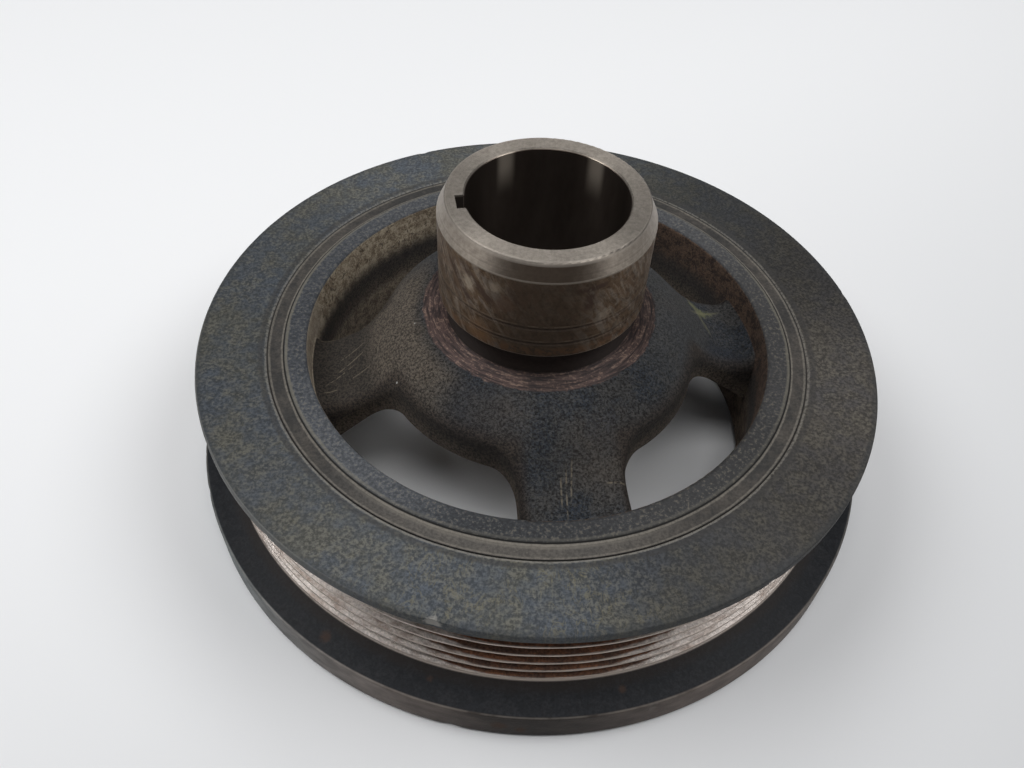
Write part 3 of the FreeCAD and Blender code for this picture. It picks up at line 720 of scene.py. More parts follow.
@dataclass(frozen=True)
class HubFinish:
    """The hub's finishes: gritty cast skin, stained turned sleeve, rusty seat and blue-grey rim top."""

    marks: HubMarks = field(default_factory=HubMarks)
    iron: Pair = ((0.016, 0.020, 0.027), (0.023, 0.024, 0.026))
    brown: Colour = (0.058, 0.042, 0.031)
    tan: Colour = (0.185, 0.148, 0.108)
    grey: Colour = (0.125, 0.122, 0.116)
    right_grit: Pair = ((0.034, 0.034, 0.034), (0.095, 0.092, 0.088))
    left_grit: Pair = ((0.042, 0.032, 0.024), (0.240, 0.192, 0.140))
    spoke_end: Pair = ((0.010, 0.009, 0.008), (0.036, 0.029, 0.023))
    blue: Colour = (0.013, 0.0165, 0.025)
    window_edge_shade: Pair = ((0.009, 0.0065, 0.0055), (0.052, 0.037, 0.027))
    window_wall: Colour = (0.040, 0.029, 0.021)
    window_rub: Colour = (0.34, 0.29, 0.23)
    scratch: Colour = (0.215, 0.180, 0.130)
    flash: Colour = (0.20, 0.165, 0.125)
    splash: Colour = (0.200, 0.205, 0.095)
    splash_streak: Colour = (0.20, 0.19, 0.11)
    fleck: Colour = (0.62, 0.61, 0.57)
    wall_sand_lit: Pair = ((0.220, 0.165, 0.110), (0.560, 0.475, 0.350))
    wall_red_shaded: Pair = ((0.030, 0.016, 0.011), (0.130, 0.080, 0.052))
    wall_pit: Colour = (0.034, 0.022, 0.016)
    wall_low_shade: Pair = ((0.050, 0.034, 0.025), (0.190, 0.145, 0.105))
    wall_seam: Colour = (0.020, 0.014, 0.011)
    wall_strip_highlight: Colour = (0.42, 0.36, 0.29)
    rim: Colour = (0.058, 0.063, 0.072)
    rim_brown: Colour = (0.056, 0.052, 0.049)
    rim_dots: Colour = (0.165, 0.145, 0.110)
    rim_line: Colour = (0.180, 0.165, 0.130)
    rim_seam: Colour = (0.010, 0.009, 0.008)
    rim_foot: Pair = ((0.05, 0.042, 0.036), (0.13, 0.115, 0.10))
    seat: Pair = ((0.024, 0.017, 0.017), (0.098, 0.062, 0.054))
    flake: Colour = (0.320, 0.232, 0.175)
    rust: Colour = (0.120, 0.062, 0.050)
    steel: Colour = (0.50, 0.43, 0.36)
    film: Pair = ((0.078, 0.046, 0.026), (0.225, 0.150, 0.092))
    oil: Colour = (0.082, 0.056, 0.038)
    dark_oil_and_reflection: Colour = (0.032, 0.022, 0.015)
    lead_foot_highlight: Colour = (0.50, 0.44, 0.37)
    rust_streak: Colour = (0.046, 0.022, 0.013)
    rust_patch: Colour = (0.070, 0.038, 0.024)
    low_rust: Colour = (0.150, 0.072, 0.032)
    worn_ring: Colour = (0.055, 0.042, 0.036)
    worn_edge: Colour = (0.44, 0.36, 0.27)
    neck: Colour = (0.030, 0.019, 0.015)
    bore: Pair = ((0.070, 0.052, 0.043), (0.165, 0.134, 0.112))
    bore_highlight: Colour = (0.62, 0.54, 0.45)
    keyway: Colour = (0.04, 0.028, 0.021)
    end_face: Pair = ((0.225, 0.198, 0.170), (0.320, 0.288, 0.250))
    end_edge_highlight: Colour = (0.44, 0.39, 0.34)
    boss_face: Colour = (0.16, 0.14, 0.12)

    def material(self, hub: "HubCasting") -> bpy.types.Material:
        """The hub's material.

        Args:
            hub: the hub, for the places of its faces.

        Returns:
            The material.
        """
        graph = Graph("hub_casting_skin")
        grain = graph.noise(0.55, 3.0, 0.8)
        patches = graph.noise(9.0, 4.0, 0.6)
        colour = graph.mix(graph.step(patches, 0.5, 0.3), *self.iron)
        colour = graph.scale(colour, graph.step(grain, 0.5, 0.30) * 1.9)
        skin = Skin(graph, colour, 0.66, 0.0, (grain - 0.5) * 0.42, brushed=0.85, gloss=0.4)
        self._cast_web(graph, skin, hub, grain, patches)
        self._rim_wall(graph, skin, hub, grain, patches)
        self._rim_top(graph, skin, hub)
        self._seat(graph, skin, hub)
        self._sleeve(graph, skin, hub)
        self._bore(graph, skin, hub)
        self._end_faces(graph, skin, hub)
        return skin.material()

    def _cast_web(self, graph: Graph, skin: Skin, hub: "HubCasting", grain: Wire, patches: Wire) -> None:
        """Grey and tan grit, a browner left side, darker spoke ends, and the marks on top of it.

        Args:
            graph: the material's nodes.
            skin: the skin to add them to.
            hub: the hub, for its spokes and windows.
            grain: the casting's fine grain.
            patches: the casting's broad patches.
        """
        radius, z = graph.radius, graph.z
        web = graph.band(radius, hub.seat, hub.rim_inner + 0.4, 0.6)
        web = web * graph.below(z, hub.seat_height - 0.1, 0.3)
        speck = graph.step(grain, 0.5, 0.22)
        skin.coat(web * graph.step(graph.noise(0.7, 2.0, 0.7), 0.55, 0.10) * 0.30, self.grey)
        dusty = graph.step(patches, 0.55, 0.12) * 0.18
        for place, size, soft, share in self.marks.sandy_spots:
            dusty = dusty + graph.spot(place, size, soft) * share
        skin.coat(web * dusty * 0.36, graph.mix(speck, self.brown, self.tan), 0.8)
        right = graph.sector(10.0, 55.0) * graph.below(radius, 43.0, 6.0)
        skin.coat(web * right * 0.5, graph.mix(speck, *self.right_grit))
        left = graph.sector(196.0, 54.0) * graph.step(radius, 28.5, 5.0)
        skin.coat(web * left * 0.62, graph.mix(speck, *self.left_grit), 0.8)
        ends = graph.sector(190.0, 38.0) * graph.step(radius, 40.5, 6.0)
        skin.coat(web * ends * 0.85, graph.mix(speck, *self.spoke_end), 0.8)
        for place, size, soft, share in self.marks.blue_spots:
            blue = graph.spot(place, size, soft, 0.3) * share
            skin.coat(web * blue * 0.6, graph.scale(self.blue, speck * 1.1 + 0.5))
        above = graph.math("SUBTRACT", z, hub.root_height + (hub.rim_inner - radius) * hub.root_rise)
        self._window_sides(graph, skin, hub, web, speck, patches, above)
        self._marks(graph, skin, web * graph.step(above, 5.0, 2.0))

    def _window_sides(self, graph: Graph, skin: Skin, hub: "HubCasting", web: Wire, speck: Wire,
                      patches: Wire, above: Wire) -> None:
        """Window sides in painted shade under the rounded top edge, sandy lower down, and rubbed at the
        lower edge.

        The distance from a point of the web to the nearest window is worked out on one quarter: with
        the point turned to the nearest spoke's axis, it is the length of (inner - radius, half - side)
        with each kept above zero, where side is the distance from the spoke's axis.

        Args:
            graph: the material's nodes.
            skin: the skin to add them to.
            hub: the hub, for its spokes and windows.
            web: where the cast web is.
            speck: the casting's specks.
            patches: the casting's broad patches.
            above: the height above the web's lower edge.
        """
        quarter = 360.0 / hub.spokes
        turned = graph.math("MODULO", graph.angle + (720.0 - hub.spoke_azimuth + quarter / 2), quarter)
        fold = graph.math("RADIANS", turned - quarter / 2)
        side = graph.math("ABSOLUTE", graph.math("SINE", fold) * graph.radius)
        short = graph.math("MAXIMUM", hub.window_inner - graph.radius, 0.0)
        near = graph.math("MAXIMUM", hub.spoke_half - side, 0.0)
        away = graph.math("SQRT", short * short + near * near)
        # painted shade: dark under the rounded top edge of each window
        edge = graph.below(away + (patches - 0.5) * 3.0, 1.6, 3.0)
        skin.coat(web * edge * 0.80, graph.mix(speck, *self.window_edge_shade), 0.85)
        wall = web * graph.below(away, 0.7, 1.0)
        low = graph.below(above + (patches - 0.5) * 5.0, 6.5, 6.0)
        skin.coat(wall * low * 0.70, graph.mix(speck, self.window_wall, self.tan), 0.85)
        rubbed = graph.below(graph.math("ABSOLUTE", above - 0.5), 0.7, 0.6)
        skin.coat(wall * rubbed * 0.55, self.window_rub, 0.7)

    def _marks(self, graph: Graph, skin: Skin, web: Wire) -> None:
        """Scratches on two spokes, a flash line, white flecks, and the yellow-green splash.

        Args:
            graph: the material's nodes.
            skin: the skin to add them to.
            web: where the cast web's upper side is.
        """
        broken = graph.step(graph.noise(1.1, 2.0, 0.6), 0.44, 0.14)
        for start, end in self.marks.left_spoke:
            skin.coat(web * graph.streak(start, end, 0.13) * broken * 0.62, self.scratch)
        for start, end in self.marks.front_spoke:
            skin.coat(web * graph.streak(start, end, 0.17) * broken * 0.55, self.scratch)
        for start, end in self.marks.flash:
            skin.coat(web * graph.streak(start, end, 0.35) * 0.65, self.flash, 0.7, 0.0, 0.35)
        for place, size, share in self.marks.splash:
            skin.coat(graph.spot(place, size, 0.8, 0.9) * share, self.splash, 0.6)
        for start, end in self.marks.splash_streaks:
            skin.coat(web * graph.streak(start, end, 0.34) * 0.34, self.splash_streak, 0.6)
        for place in self.marks.white_flecks:
            skin.coat(graph.spot(place, 0.26, 0.5) * 0.65, self.fleck)

    def _rim_wall(self, graph: Graph, skin: Skin, hub: "HubCasting", grain: Wire, patches: Wire) -> None:
        """The rim's inner wall: sandy and painted lighter at the left, red-brown and painted darker at the
        right, with painted shade low down, a painted highlight strip, pits and a cast seam.

        Args:
            graph: the material's nodes.
            skin: the skin to add it to.
            hub: the hub, for the rim's place.
            grain: the casting's fine grain.
            patches: the casting's broad patches.
        """
        z = graph.z
        wall = graph.step(graph.radius, hub.rim_inner - 0.45, 0.3)
        blotch = graph.noise(2.4, 4.0, 0.65)
        speck = graph.step(grain * 0.5 + blotch * 0.5, 0.5, 0.16)
        # painted light and shade: the wall is painted light sandy at the left, where the lamps light it, and
        # dark red-brown at the right
        lit_sand = graph.mix(speck, *self.wall_sand_lit)
        red = graph.mix(speck, *self.wall_red_shaded)
        skin.coat(wall, graph.mix(graph.sector(165.0, 85.0), red, lit_sand), 0.85, 0.0, (grain - 0.5) * 0.5)
        skin.coat(wall * graph.below(graph.noise(1.5, 3.0, 0.6), 0.38, 0.06) * 0.7, self.wall_pit)
        # painted shade: the wall is darker lower down, towards the web
        deep = graph.below(z + (patches - 0.5) * 6.0, hub.parting + 3.0, 3.0)
        skin.coat(wall * deep * 0.72, graph.mix(speck, *self.wall_low_shade), 0.85)
        seam = graph.band(z + (blotch - 0.5) * 1.5, hub.parting + 1.6, hub.parting + 2.2, 0.4)
        skin.coat(wall * seam * 0.6, self.wall_seam)
        # painted highlight: a bright upright strip on the upper wall beside the left spoke
        strip_highlight = graph.band(graph.facing(193.0), 0.955, 2.0, 0.03) * graph.step(z, hub.parting + 6.0, 4.0)
        skin.coat(wall * strip_highlight * 0.5, self.wall_strip_highlight)

    def _rim_top(self, graph: Graph, skin: Skin, hub: "HubCasting") -> None:
        """The rim's granular blue-grey top with a tan line at its outer edge, and its turned foot.

        Args:
            graph: the material's nodes.
            skin: the skin to add them to.
            hub: the hub, for the rim's place.
        """
        radius, z = graph.radius, graph.z
        top = graph.step(z, hub.rim_top - 0.5, 0.35) * graph.step(radius, hub.rim_inner - 0.3, 0.3)
        dots = graph.noise(0.75, 3.0, 0.75)
        face = graph.scale(self.rim, graph.step(dots, 0.5, 0.30) * 0.80 + 0.50)
        face = graph.mix(graph.sector(345.0, 95.0) * 0.6, face, graph.scale(self.rim_brown, dots + 0.5))
        # painted light: the rim top is painted brighter at the left front and darker at the front, right
        # front and right
        painted_light = graph.sector(222.0, 30.0) * 0.22 - graph.sector(5.0, 40.0) * 0.16 + 1.0
        painted_light = painted_light * 0.97 - graph.sector(270.0, 24.0) * 0.40 - graph.sector(312.0, 32.0) * 0.46
        skin.coat(top, graph.scale(face, painted_light), 0.56, 0.05, (dots - 0.5) * 0.06)
        skin.coat(top * graph.step(dots, 0.585, 0.05) * 0.45, self.rim_dots, 0.7)
        wander = radius + (graph.noise(6.0, 2.0) - 0.5) * 0.6
        line = graph.band(wander, hub.rim_outer - 0.95, hub.rim_outer - 0.28, 0.4) * top
        share = graph.sector(185.0, 75.0) * 0.40 + graph.sector(5.0, 35.0) * 0.3 + 0.20
        skin.coat(line * share, self.rim_line, 0.65)
        skin.coat(graph.step(radius, hub.rim_outer - 0.22, 0.1) * top, self.rim_seam, 0.8)
        foot = graph.below(z, hub.rim_bottom + 0.5, 0.3) * graph.step(radius, hub.rim_inner - 0.45, 0.3)
        rings = graph.rings(0.3, radius)
        skin.coat(foot, graph.mix(rings, *self.rim_foot), 0.5, 0.4, rings * 0.04)

    def _seat(self, graph: Graph, skin: Skin, hub: "HubCasting") -> None:
        """The turned seat round the neck: pinkish-brown flakes drawn out along the tool's rings.

        Args:
            graph: the material's nodes.
            skin: the skin to add them to.
            hub: the hub, for the seat's place.
        """
        radius = graph.radius
        wander = radius + (graph.noise(2.0, 3.0, 0.6) - 0.5) * 1.6
        seat = graph.band(graph.z, hub.seat_height - 0.5, hub.seat_height + 0.3, 0.3)
        seat = seat * graph.band(wander, hub.neck - 0.3, hub.seat + 0.3, 0.6)
        flakes = graph.noise(1.0, 5.0, 0.70, 0.25, at=graph.vector(graph.angle * 0.075, radius * 1.5, 0.0))
        dots = graph.noise(0.8, 3.0, 0.7)
        colour = graph.mix(graph.step(flakes, 0.50, 0.26), *self.seat)
        bright = graph.step(flakes * 0.5 + dots * 0.5, 0.56, 0.08) * 0.55
        rusty = graph.step(dots, 0.60, 0.06) * graph.step(flakes, 0.46, 0.1) * 0.45
        colour = graph.mix(rusty, graph.mix(bright, colour, self.flake), self.rust)
        # painted light: the seat is painted brighter at the left front and right front
        painted_light = graph.sector(215.0, 60.0) * 0.75 + graph.sector(315.0, 40.0) * 0.40 + 0.70
        skin.coat(seat, graph.scale(colour, painted_light), 0.62, 0.1, (flakes - 0.5) * 0.30)

    def _sleeve(self, graph: Graph, skin: Skin, hub: "HubCasting") -> None:
        """Turned steel under a brown oil film, darkest at the front, where a painted dark reflection lies on
        the film, with its stains, a painted highlight round the taper's foot, and a dark neck.

        Args:
            graph: the material's nodes.
            skin: the skin to add them to.
            hub: the hub, for the sleeve's steps.
        """
        z = graph.z
        sleeve = graph.step(z, hub.seat_height + 0.25, 0.15)
        sleeve = sleeve * graph.below(graph.radius, hub.sleeve + 0.4, 0.3)
        rings = graph.rings(0.34, z + graph.noise(20.0) * 0.3, 2.0)
        slant = graph.vector(graph.angle * 0.41 + z * 0.55, z * 0.33, 0.0)
        cloud = graph.noise(2.4, 5.0, 0.68, 1.0, at=slant)
        speck = graph.noise(1.3, 4.0, 0.7)
        steel = graph.scale(self.steel, rings * 0.5 + graph.step(speck, 0.5, 0.5) * 0.3 + 0.35)
        skin.coat(sleeve, steel, 0.38 + (cloud - 0.5) * 0.2, 0.92, (rings - 0.5) * 0.010)
        body = sleeve * graph.band(z, hub.neck_top, hub.lead_foot - 0.3, 0.8)
        film = graph.mix(graph.step(speck, 0.5, 0.3), *self.film)
        skin.coat(body * (graph.step(cloud, 0.46, 0.20) * 0.55 + 0.42), film, 0.44, 0.78)
        # oil film with a painted dark reflection: the front of the sleeve and of its taper is painted
        # darker, where the sleeve would reflect the dark room in front
        front = sleeve * graph.sector(273.0, 36.0)
        oily = front * graph.band(z, hub.neck_top, hub.sleeve_top - 0.7, 0.5)
        skin.coat(oily * 0.90, graph.scale(self.oil, speck + 0.5), 0.48, 0.68)
        taper = front * graph.band(z, hub.lead_foot, hub.sleeve_top - 0.5, 0.4)
        skin.coat(taper * 0.56, self.dark_oil_and_reflection, 0.42, 0.6)
        # painted highlight: a thin bright line round the foot of the taper
        foot_highlight = sleeve * graph.band(z, hub.lead_foot - 0.35, hub.lead_foot + 0.1, 0.2)
        skin.coat(foot_highlight * 0.40, self.lead_foot_highlight, 0.36, 0.85)
        self._sleeve_stains_and_highlight(graph, skin, hub, sleeve, cloud, speck)
        neck = sleeve * graph.below(z, hub.neck_top + 0.1, 0.3)
        skin.coat(neck, graph.scale(self.neck, speck + 0.5), 0.62, 0.2, (speck - 0.5) * 0.08)
        lip = graph.band(z, hub.neck_top + 0.05, hub.neck_top + 0.6, 0.2) * sleeve
        skin.coat(lip * 0.45, self.steel, 0.34, 0.9)

    def _sleeve_stains_and_highlight(self, graph: Graph, skin: Skin, hub: "HubCasting", sleeve: Wire, cloud: Wire,
                       speck: Wire) -> None:
        """Slanting rust streaks, patches and specks with ragged edges, one painted highlight among the
        spots, and the two rings worn by a seal.

        Args:
            graph: the material's nodes.
            skin: the skin to add them to.
            hub: the hub, for the sleeve's steps.
            sleeve: where the sleeve is.
            cloud: slanting clouds of the oil film.
            speck: the film's specks.
        """
        z = graph.z
        ragged = graph.step(speck * 0.6 + cloud * 0.4, 0.46, 0.12)
        for start, end, width, share in self.marks.sleeve_streaks:
            streak = graph.streak(hub.on_sleeve(*start), hub.on_sleeve(*end), width)
            skin.coat(sleeve * streak * ragged * share, self.rust_streak, 0.62, 0.25)
        for place, size, share, colour in self.marks.sleeve_spots:
            spot = graph.spot(hub.on_sleeve(*place), size, 0.9, 0.7)
            skin.coat(sleeve * spot * share, colour, 0.55, 0.5)
        body = sleeve * graph.band(z, hub.neck_top, hub.lead_foot - 0.3, 0.8)
        rusty = graph.step(speck * 0.55 + cloud * 0.45, 0.555, 0.05)
        skin.coat(body * rusty * 0.55, self.rust_patch, 0.6, 0.3)
        low = graph.band(z + (speck - 0.5) * 1.5, hub.neck_top + 1.0, hub.wear_low - 1.2, 1.0)
        skin.coat(sleeve * low * graph.step(speck, 0.5, 0.14) * 0.55, self.low_rust, 0.6, 0.35)
        for height in (hub.wear_high, hub.wear_low):
            worn = graph.below(graph.math("ABSOLUTE", z - height), 0.55, 0.5)
            skin.coat(sleeve * worn * (cloud * 0.8), self.worn_ring, 0.5, 0.6)
            edge = graph.band(z, height + 0.6, height + 0.95, 0.2) * graph.step(cloud, 0.5, 0.2)
            skin.coat(sleeve * edge * 0.24, self.worn_edge, 0.36, 0.9)

    def _bore(self, graph: Graph, skin: Skin, hub: "HubCasting") -> None:
        """The smooth dark bore, with a painted highlight in two places near its mouth, and the dark keyway.

        Args:
            graph: the material's nodes.
            skin: the skin to add them to.
            hub: the hub, for the bore's place.
        """
        radius, z = graph.radius, graph.z
        inside = graph.below(radius, hub.bore + 0.12, 0.1)
        smear = graph.noise(4.0, 4.0, 0.6, at=graph.vector(graph.x, graph.y, z * 0.3))
        skin.coat(inside, graph.mix(smear, *self.bore), 0.34, 0.9, smear * 0.01)
        # painted highlight: two bright upright patches near the bore's mouth
        for azimuth in self.marks.bore_highlights:
            highlight_mask = graph.sector(azimuth, 9.0) * graph.step(z, hub.sleeve_top - 7.0, 9.0)
            skin.coat(inside * highlight_mask * 0.75, self.bore_highlight, 0.42, 0.85)
        key = graph.step(radius, hub.bore + 0.25, 0.1) * graph.below(radius, hub.bore + 2.2, 0.1)
        key = key * graph.band(z, hub.boss_bottom + 0.1, hub.sleeve_top - 0.5, 0.1)
        skin.coat(key * graph.step(graph.facing(hub.key_azimuth), 0.98, 0.01), self.keyway, 0.6, 0.4)

    def _end_faces(self, graph: Graph, skin: Skin, hub: "HubCasting") -> None:
        """The sleeve's pale end face with turning rings and a painted highlight round its edge, and the
        boss's turned face.

        Args:
            graph: the material's nodes.
            skin: the skin to add them to.
            hub: the hub, for the two faces' places.
        """
        radius, z = graph.radius, graph.z
        end = graph.step(z, hub.sleeve_top - 0.25, 0.15)
        rings = graph.noise(0.25, 2.0, 0.6, at=graph.vector(radius, graph.angle * 0.01, 0.0))
        dirt = graph.noise(0.8, 3.0, 0.75)
        pale = graph.mix(graph.step(dirt, 0.5, 0.4), *self.end_face)
        height = (rings - 0.5) * 0.02 + (dirt - 0.5) * 0.03
        skin.coat(end, graph.scale(pale, rings * 0.3 + 0.85), 0.48, 0.8, height)
        # painted highlight: a bright line round the end face's outer edge
        edge = graph.step(radius, hub.lead_radius - 0.5, 0.15)
        edge = edge * graph.below(radius, hub.lead_radius + 0.25, 0.2)
        skin.coat(edge * graph.step(z, hub.sleeve_top - 0.9, 0.2) * 0.35, self.end_edge_highlight, 0.5, 0.8)
        foot = graph.below(z, hub.boss_bottom + 0.2, 0.1) * graph.band(radius, hub.bore + 0.2, hub.boss, 0.3)
        skin.coat(foot, graph.scale(self.boss_face, rings * 0.8 + 0.6), 0.45, 0.7, rings * 0.03)


def rounded_loop(corners: Sequence[Tuple[float, float, float]], steps: int) -> np.ndarray:
    """A closed outline with each corner rounded by a circular arc.

    For a corner with half angle h and round radius q, the arc starts and ends q / tan(h) from the
    corner along its two sides, and its centre lies q / sin(h) from the corner on the middle line.

    Args:
        corners: (radius, height, round) of each corner in order; a round of 0 keeps it sharp.
        steps: how many segments each arc has.

    Returns:
        The outline's points, one row each.
    """
    points = np.array([corner[:2] for corner in corners])
    rounds = np.array([corner[2] for corner in corners])
    to_last = np.roll(points, 1, axis=0) - points
    to_next = np.roll(points, -1, axis=0) - points
    to_last /= np.linalg.norm(to_last, axis=1, keepdims=True)
    to_next /= np.linalg.norm(to_next, axis=1, keepdims=True)
    half = np.arccos(np.clip((to_last * to_next).sum(1), -1, 1)) / 2
    middle = to_last + to_next
    middle /= np.linalg.norm(middle, axis=1, keepdims=True)
    centres = points + middle * (rounds / np.sin(half))[:, None]
    turn = np.linspace(-1, 1, steps + 1)[None, :] * (math.pi / 2 - half)[:, None]
    side = np.stack([-middle[:, 1], middle[:, 0]], axis=1)
    side *= np.sign((side * to_next).sum(1))[:, None]
    arcs = centres[:, None] + rounds[:, None, None] * (
        -middle[:, None] * np.cos(turn)[..., None] + side[:, None] * np.sin(turn)[..., None]
    )
    kept = [arc if size > 0 else point[None] for arc, size, point in zip(arcs, rounds, points)]
    return np.concatenate(kept)


def turned_piece(name: str, outline: np.ndarray, turns: int,
                 shift: Callable[[np.ndarray, np.ndarray, np.ndarray], Tuple[np.ndarray, np.ndarray]],
                 sharp: float) -> bpy.types.Object:
    """A closed ring: the outline's point (r, z) goes to (r cos t, r sin t, z) for each angle t.

    Args:
        name: the piece's name.
        outline: its closed section in millimetres, one (radius, height) a row.
        turns: how many steps the full turn has.
        shift: gives the changed radii and heights from grids of angle, radius and height.
        sharp: the angle in degrees past which an edge is shaded sharp.

    Returns:
        The piece, linked to the scene.
    """
    angles = np.linspace(0, 2 * math.pi, turns, endpoint=False)
    theta, radius = np.meshgrid(angles, outline[:, 0], indexing="ij")
    height = np.broadcast_to(outline[:, 1], radius.shape)
    radius, height = shift(theta, radius, height)
    points = np.stack([radius * np.cos(theta), radius * np.sin(theta), height], axis=-1)
    count = len(outline)
    row, place = np.meshgrid(np.arange(turns), np.arange(count), indexing="ij")
    next_row, next_place = (row + 1) % turns, (place + 1) % count
    quads = np.stack([row * count + place, next_row * count + place,
                      next_row * count + next_place, row * count + next_place], axis=-1).reshape(-1, 4)
    around = outline - outline.mean(0)
    area = (around[:, 0] * np.roll(around[:, 1], -1) - around[:, 1] * np.roll(around[:, 0], -1)).sum()
    if area < 0:
        quads = quads[:, ::-1]
    return new_piece(name, points.reshape(-1, 3) * MM, quads, sharp)


def new_piece(name: str, points: np.ndarray, quads: np.ndarray, sharp: float) -> bpy.types.Object:
    """A smooth-shaded mesh object from arrays, at the origin.

    Args:
        name: its name.
        points: its vertices in metres.
        quads: its faces, four vertex numbers a row.
        sharp: the angle in degrees past which an edge is shaded sharp.

    Returns:
        The object, linked to the scene.
    """
    mesh = bpy.data.meshes.new(name)
    mesh.vertices.add(len(points))
    mesh.vertices.foreach_set("co", points.astype(np.float32).ravel())
    mesh.loops.add(quads.size)
    mesh.loops.foreach_set("vertex_index", quads.astype(np.int32).ravel())
    mesh.polygons.add(len(quads))
    mesh.polygons.foreach_set("loop_start", np.arange(len(quads), dtype=np.int32) * 4)
    mesh.update(calc_edges=True)
    mesh.validate()
    mesh.shade_smooth()
    mesh.set_sharp_from_angle(angle=math.radians(sharp))
    made = bpy.data.objects.new(name, mesh)
    bpy.context.scene.collection.objects.link(made)
    return made


def dress(piece: bpy.types.Object, material: bpy.types.Material) -> None:
    """Give a piece one material, in place of any it has."""
    piece.data.materials.clear()
    piece.data.materials.append(material)


class Dent(NamedTuple):
    """A dent in a turned edge: its place, its half width and half height, and its depth."""

    azimuth: float
    height: float
    wide: float
    tall: float
    deep: float


def dents(theta: np.ndarray, height: np.ndarray, places: Sequence[Dent], radius: float) -> np.ndarray:
    """The depth of some dents: each is deep * exp(-(arc / wide)^2 - (rise / tall)^2).

    Args:
        theta: the angle of each point in radians.
        height: the height of each point.
        places: the dents.
        radius: the radius at which widths are measured.

    Returns:
        The depth at each point.
    """
    depth = np.zeros_like(theta)
    for dent in places:
        turn = np.angle(np.exp(1j * (theta - math.radians(dent.azimuth))))
        rise = height - dent.height
        depth += dent.deep * np.exp(-(turn * radius / dent.wide) ** 2 - (rise / dent.tall) ** 2)
    return depth


@dataclass
class BeltRing:
    """The outer ring, whose six V grooves carry the belt between two flanges."""

    height: float = 38.0
    bore: float = 64.0
    bevel: float = 1.5
    upper_flange: float = 80.0
    upper_edge: float = 2.4
    lower_flange: float = 83.8
    lower_edge: float = 9.2
    flare: float = 80.4
    flare_height: float = 9.75
    flare_round: float = 6.0
    crest: float = 76.6
    first_crest: float = 33.5
    grooves: int = 6
    pitch: float = 3.56
    groove_angle: float = 40.0
    crest_width: float = 0.5
    root_width: float = 0.8
    ripple: float = 0.02
    steps: int = 640
    chips: Tuple[Dent, ...] = (
        Dent(259.2, 36.9, 2.0, 1.4, 0.7),
        Dent(261.6, 37.4, 0.9, 0.8, 0.3),
        Dent(118.4, 37.8, 1.0, 0.6, 0.45),
        Dent(231.0, 35.9, 0.8, 0.5, 0.25),
        Dent(308.0, 36.0, 1.1, 0.6, 0.25),
        Dent(15.0, 37.7, 0.9, 0.5, 0.2),
    )
    knocks: Tuple[Dent, ...] = (
        Dent(236.0, 8.9, 1.2, 0.7, 0.3),
        Dent(262.0, 0.6, 1.6, 0.8, 0.3),
        Dent(291.0, 8.8, 0.9, 0.5, 0.25),
        Dent(205.0, 8.8, 1.0, 0.6, 0.2),
        Dent(322.0, 8.9, 1.3, 0.6, 0.25),
    )
    finish: WornCoat = field(default_factory=WornCoat)

    @property
    def last_crest(self) -> float:
        """The height of the lowest crest."""
        return self.first_crest - self.grooves * self.pitch

    def outline(self) -> np.ndarray:
        """The ring's section, with small rounds on the turned edges and on crests and roots.

        Returns:
            Its points in millimetres.
        """
        mouth = (self.pitch - self.crest_width) / 2
        depth = (mouth - self.root_width / 2) / math.tan(math.radians(self.groove_angle / 2))
        root = self.crest - depth
        corners: List[Tuple[float, float, float]] = [
            (self.bore + 0.9, 0.0, 0.2),
            (self.lower_flange - 0.9, 0.0, 0.3),
            (self.lower_flange, 0.9, 0.3),
            (self.lower_flange, self.lower_edge, 0.45),
            (self.flare, self.flare_height, self.flare_round),
            (self.crest, self.last_crest - self.crest_width, 0.5),
        ]
        for index in reversed(range(self.grooves)):
            middle = self.first_crest - (index + 0.5) * self.pitch
            corners += [
                (self.crest, middle - mouth, 0.10),
                (root, middle - self.root_width / 2, 0.22),
                (root, middle + self.root_width / 2, 0.22),
                (self.crest, middle + mouth, 0.10),
            ]
        corners += [
            (self.crest, self.first_crest + self.crest_width, 0.4),
            (self.upper_flange, self.height - self.upper_edge, 0.3),
            (self.upper_flange, self.height, 0.4),
            (self.bore + self.bevel, self.height, 0.9),
            (self.bore, self.height - 0.5, 0.15),
            (self.bore, 0.9, 0.2),
        ]
        return rounded_loop(corners, 3)

    def worn(self, theta: np.ndarray, radius: np.ndarray,
             height: np.ndarray) -> Tuple[np.ndarray, np.ndarray]:
        """Chips and knocks in the flange edges, and crests that wander by a few hundredths.

        The crests' ripple is ripple * (sin(23 t + 1.7 z) + sin(57 t + 2.9 z)) at angle t and height z,
        less twice the ripple, so that nothing stands out past the plain ring.

        Args:
            theta: grid of angles.
            radius: grid of radii.
            height: grid of heights.

        Returns:
            The changed radii and heights.
        """
        edge = np.clip((radius - self.crest - 2.0) / 1.4, 0, 1) * (height > self.first_crest)
        radius = radius - edge * dents(theta, height, self.chips, self.upper_flange)
        low = np.clip((radius - self.lower_flange + 1.2) / 1.0, 0, 1) * (height < self.lower_edge + 1.0)
        radius = radius - low * dents(theta, height, self.knocks, self.lower_flange)
        crests = np.clip((radius - self.crest + 0.5) / 0.5, 0, 1) * (radius < self.crest + 0.05)
        wave = np.sin(23 * theta + height * 1.7) + np.sin(57 * theta + height * 2.9)
        return radius + crests * self.ripple * (wave - 2), height

    def build(self) -> List[bpy.types.Object]:
        """Make the ring in place of its plain solid.

        Returns:
            The piece.
        """
        ring = turned_piece("belt_ring_worn", self.outline(), self.steps, self.worn, 35.0)
        dress(ring, self.finish.material(self))
        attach(ring, "root")
        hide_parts("belt_ring")
        return [ring]


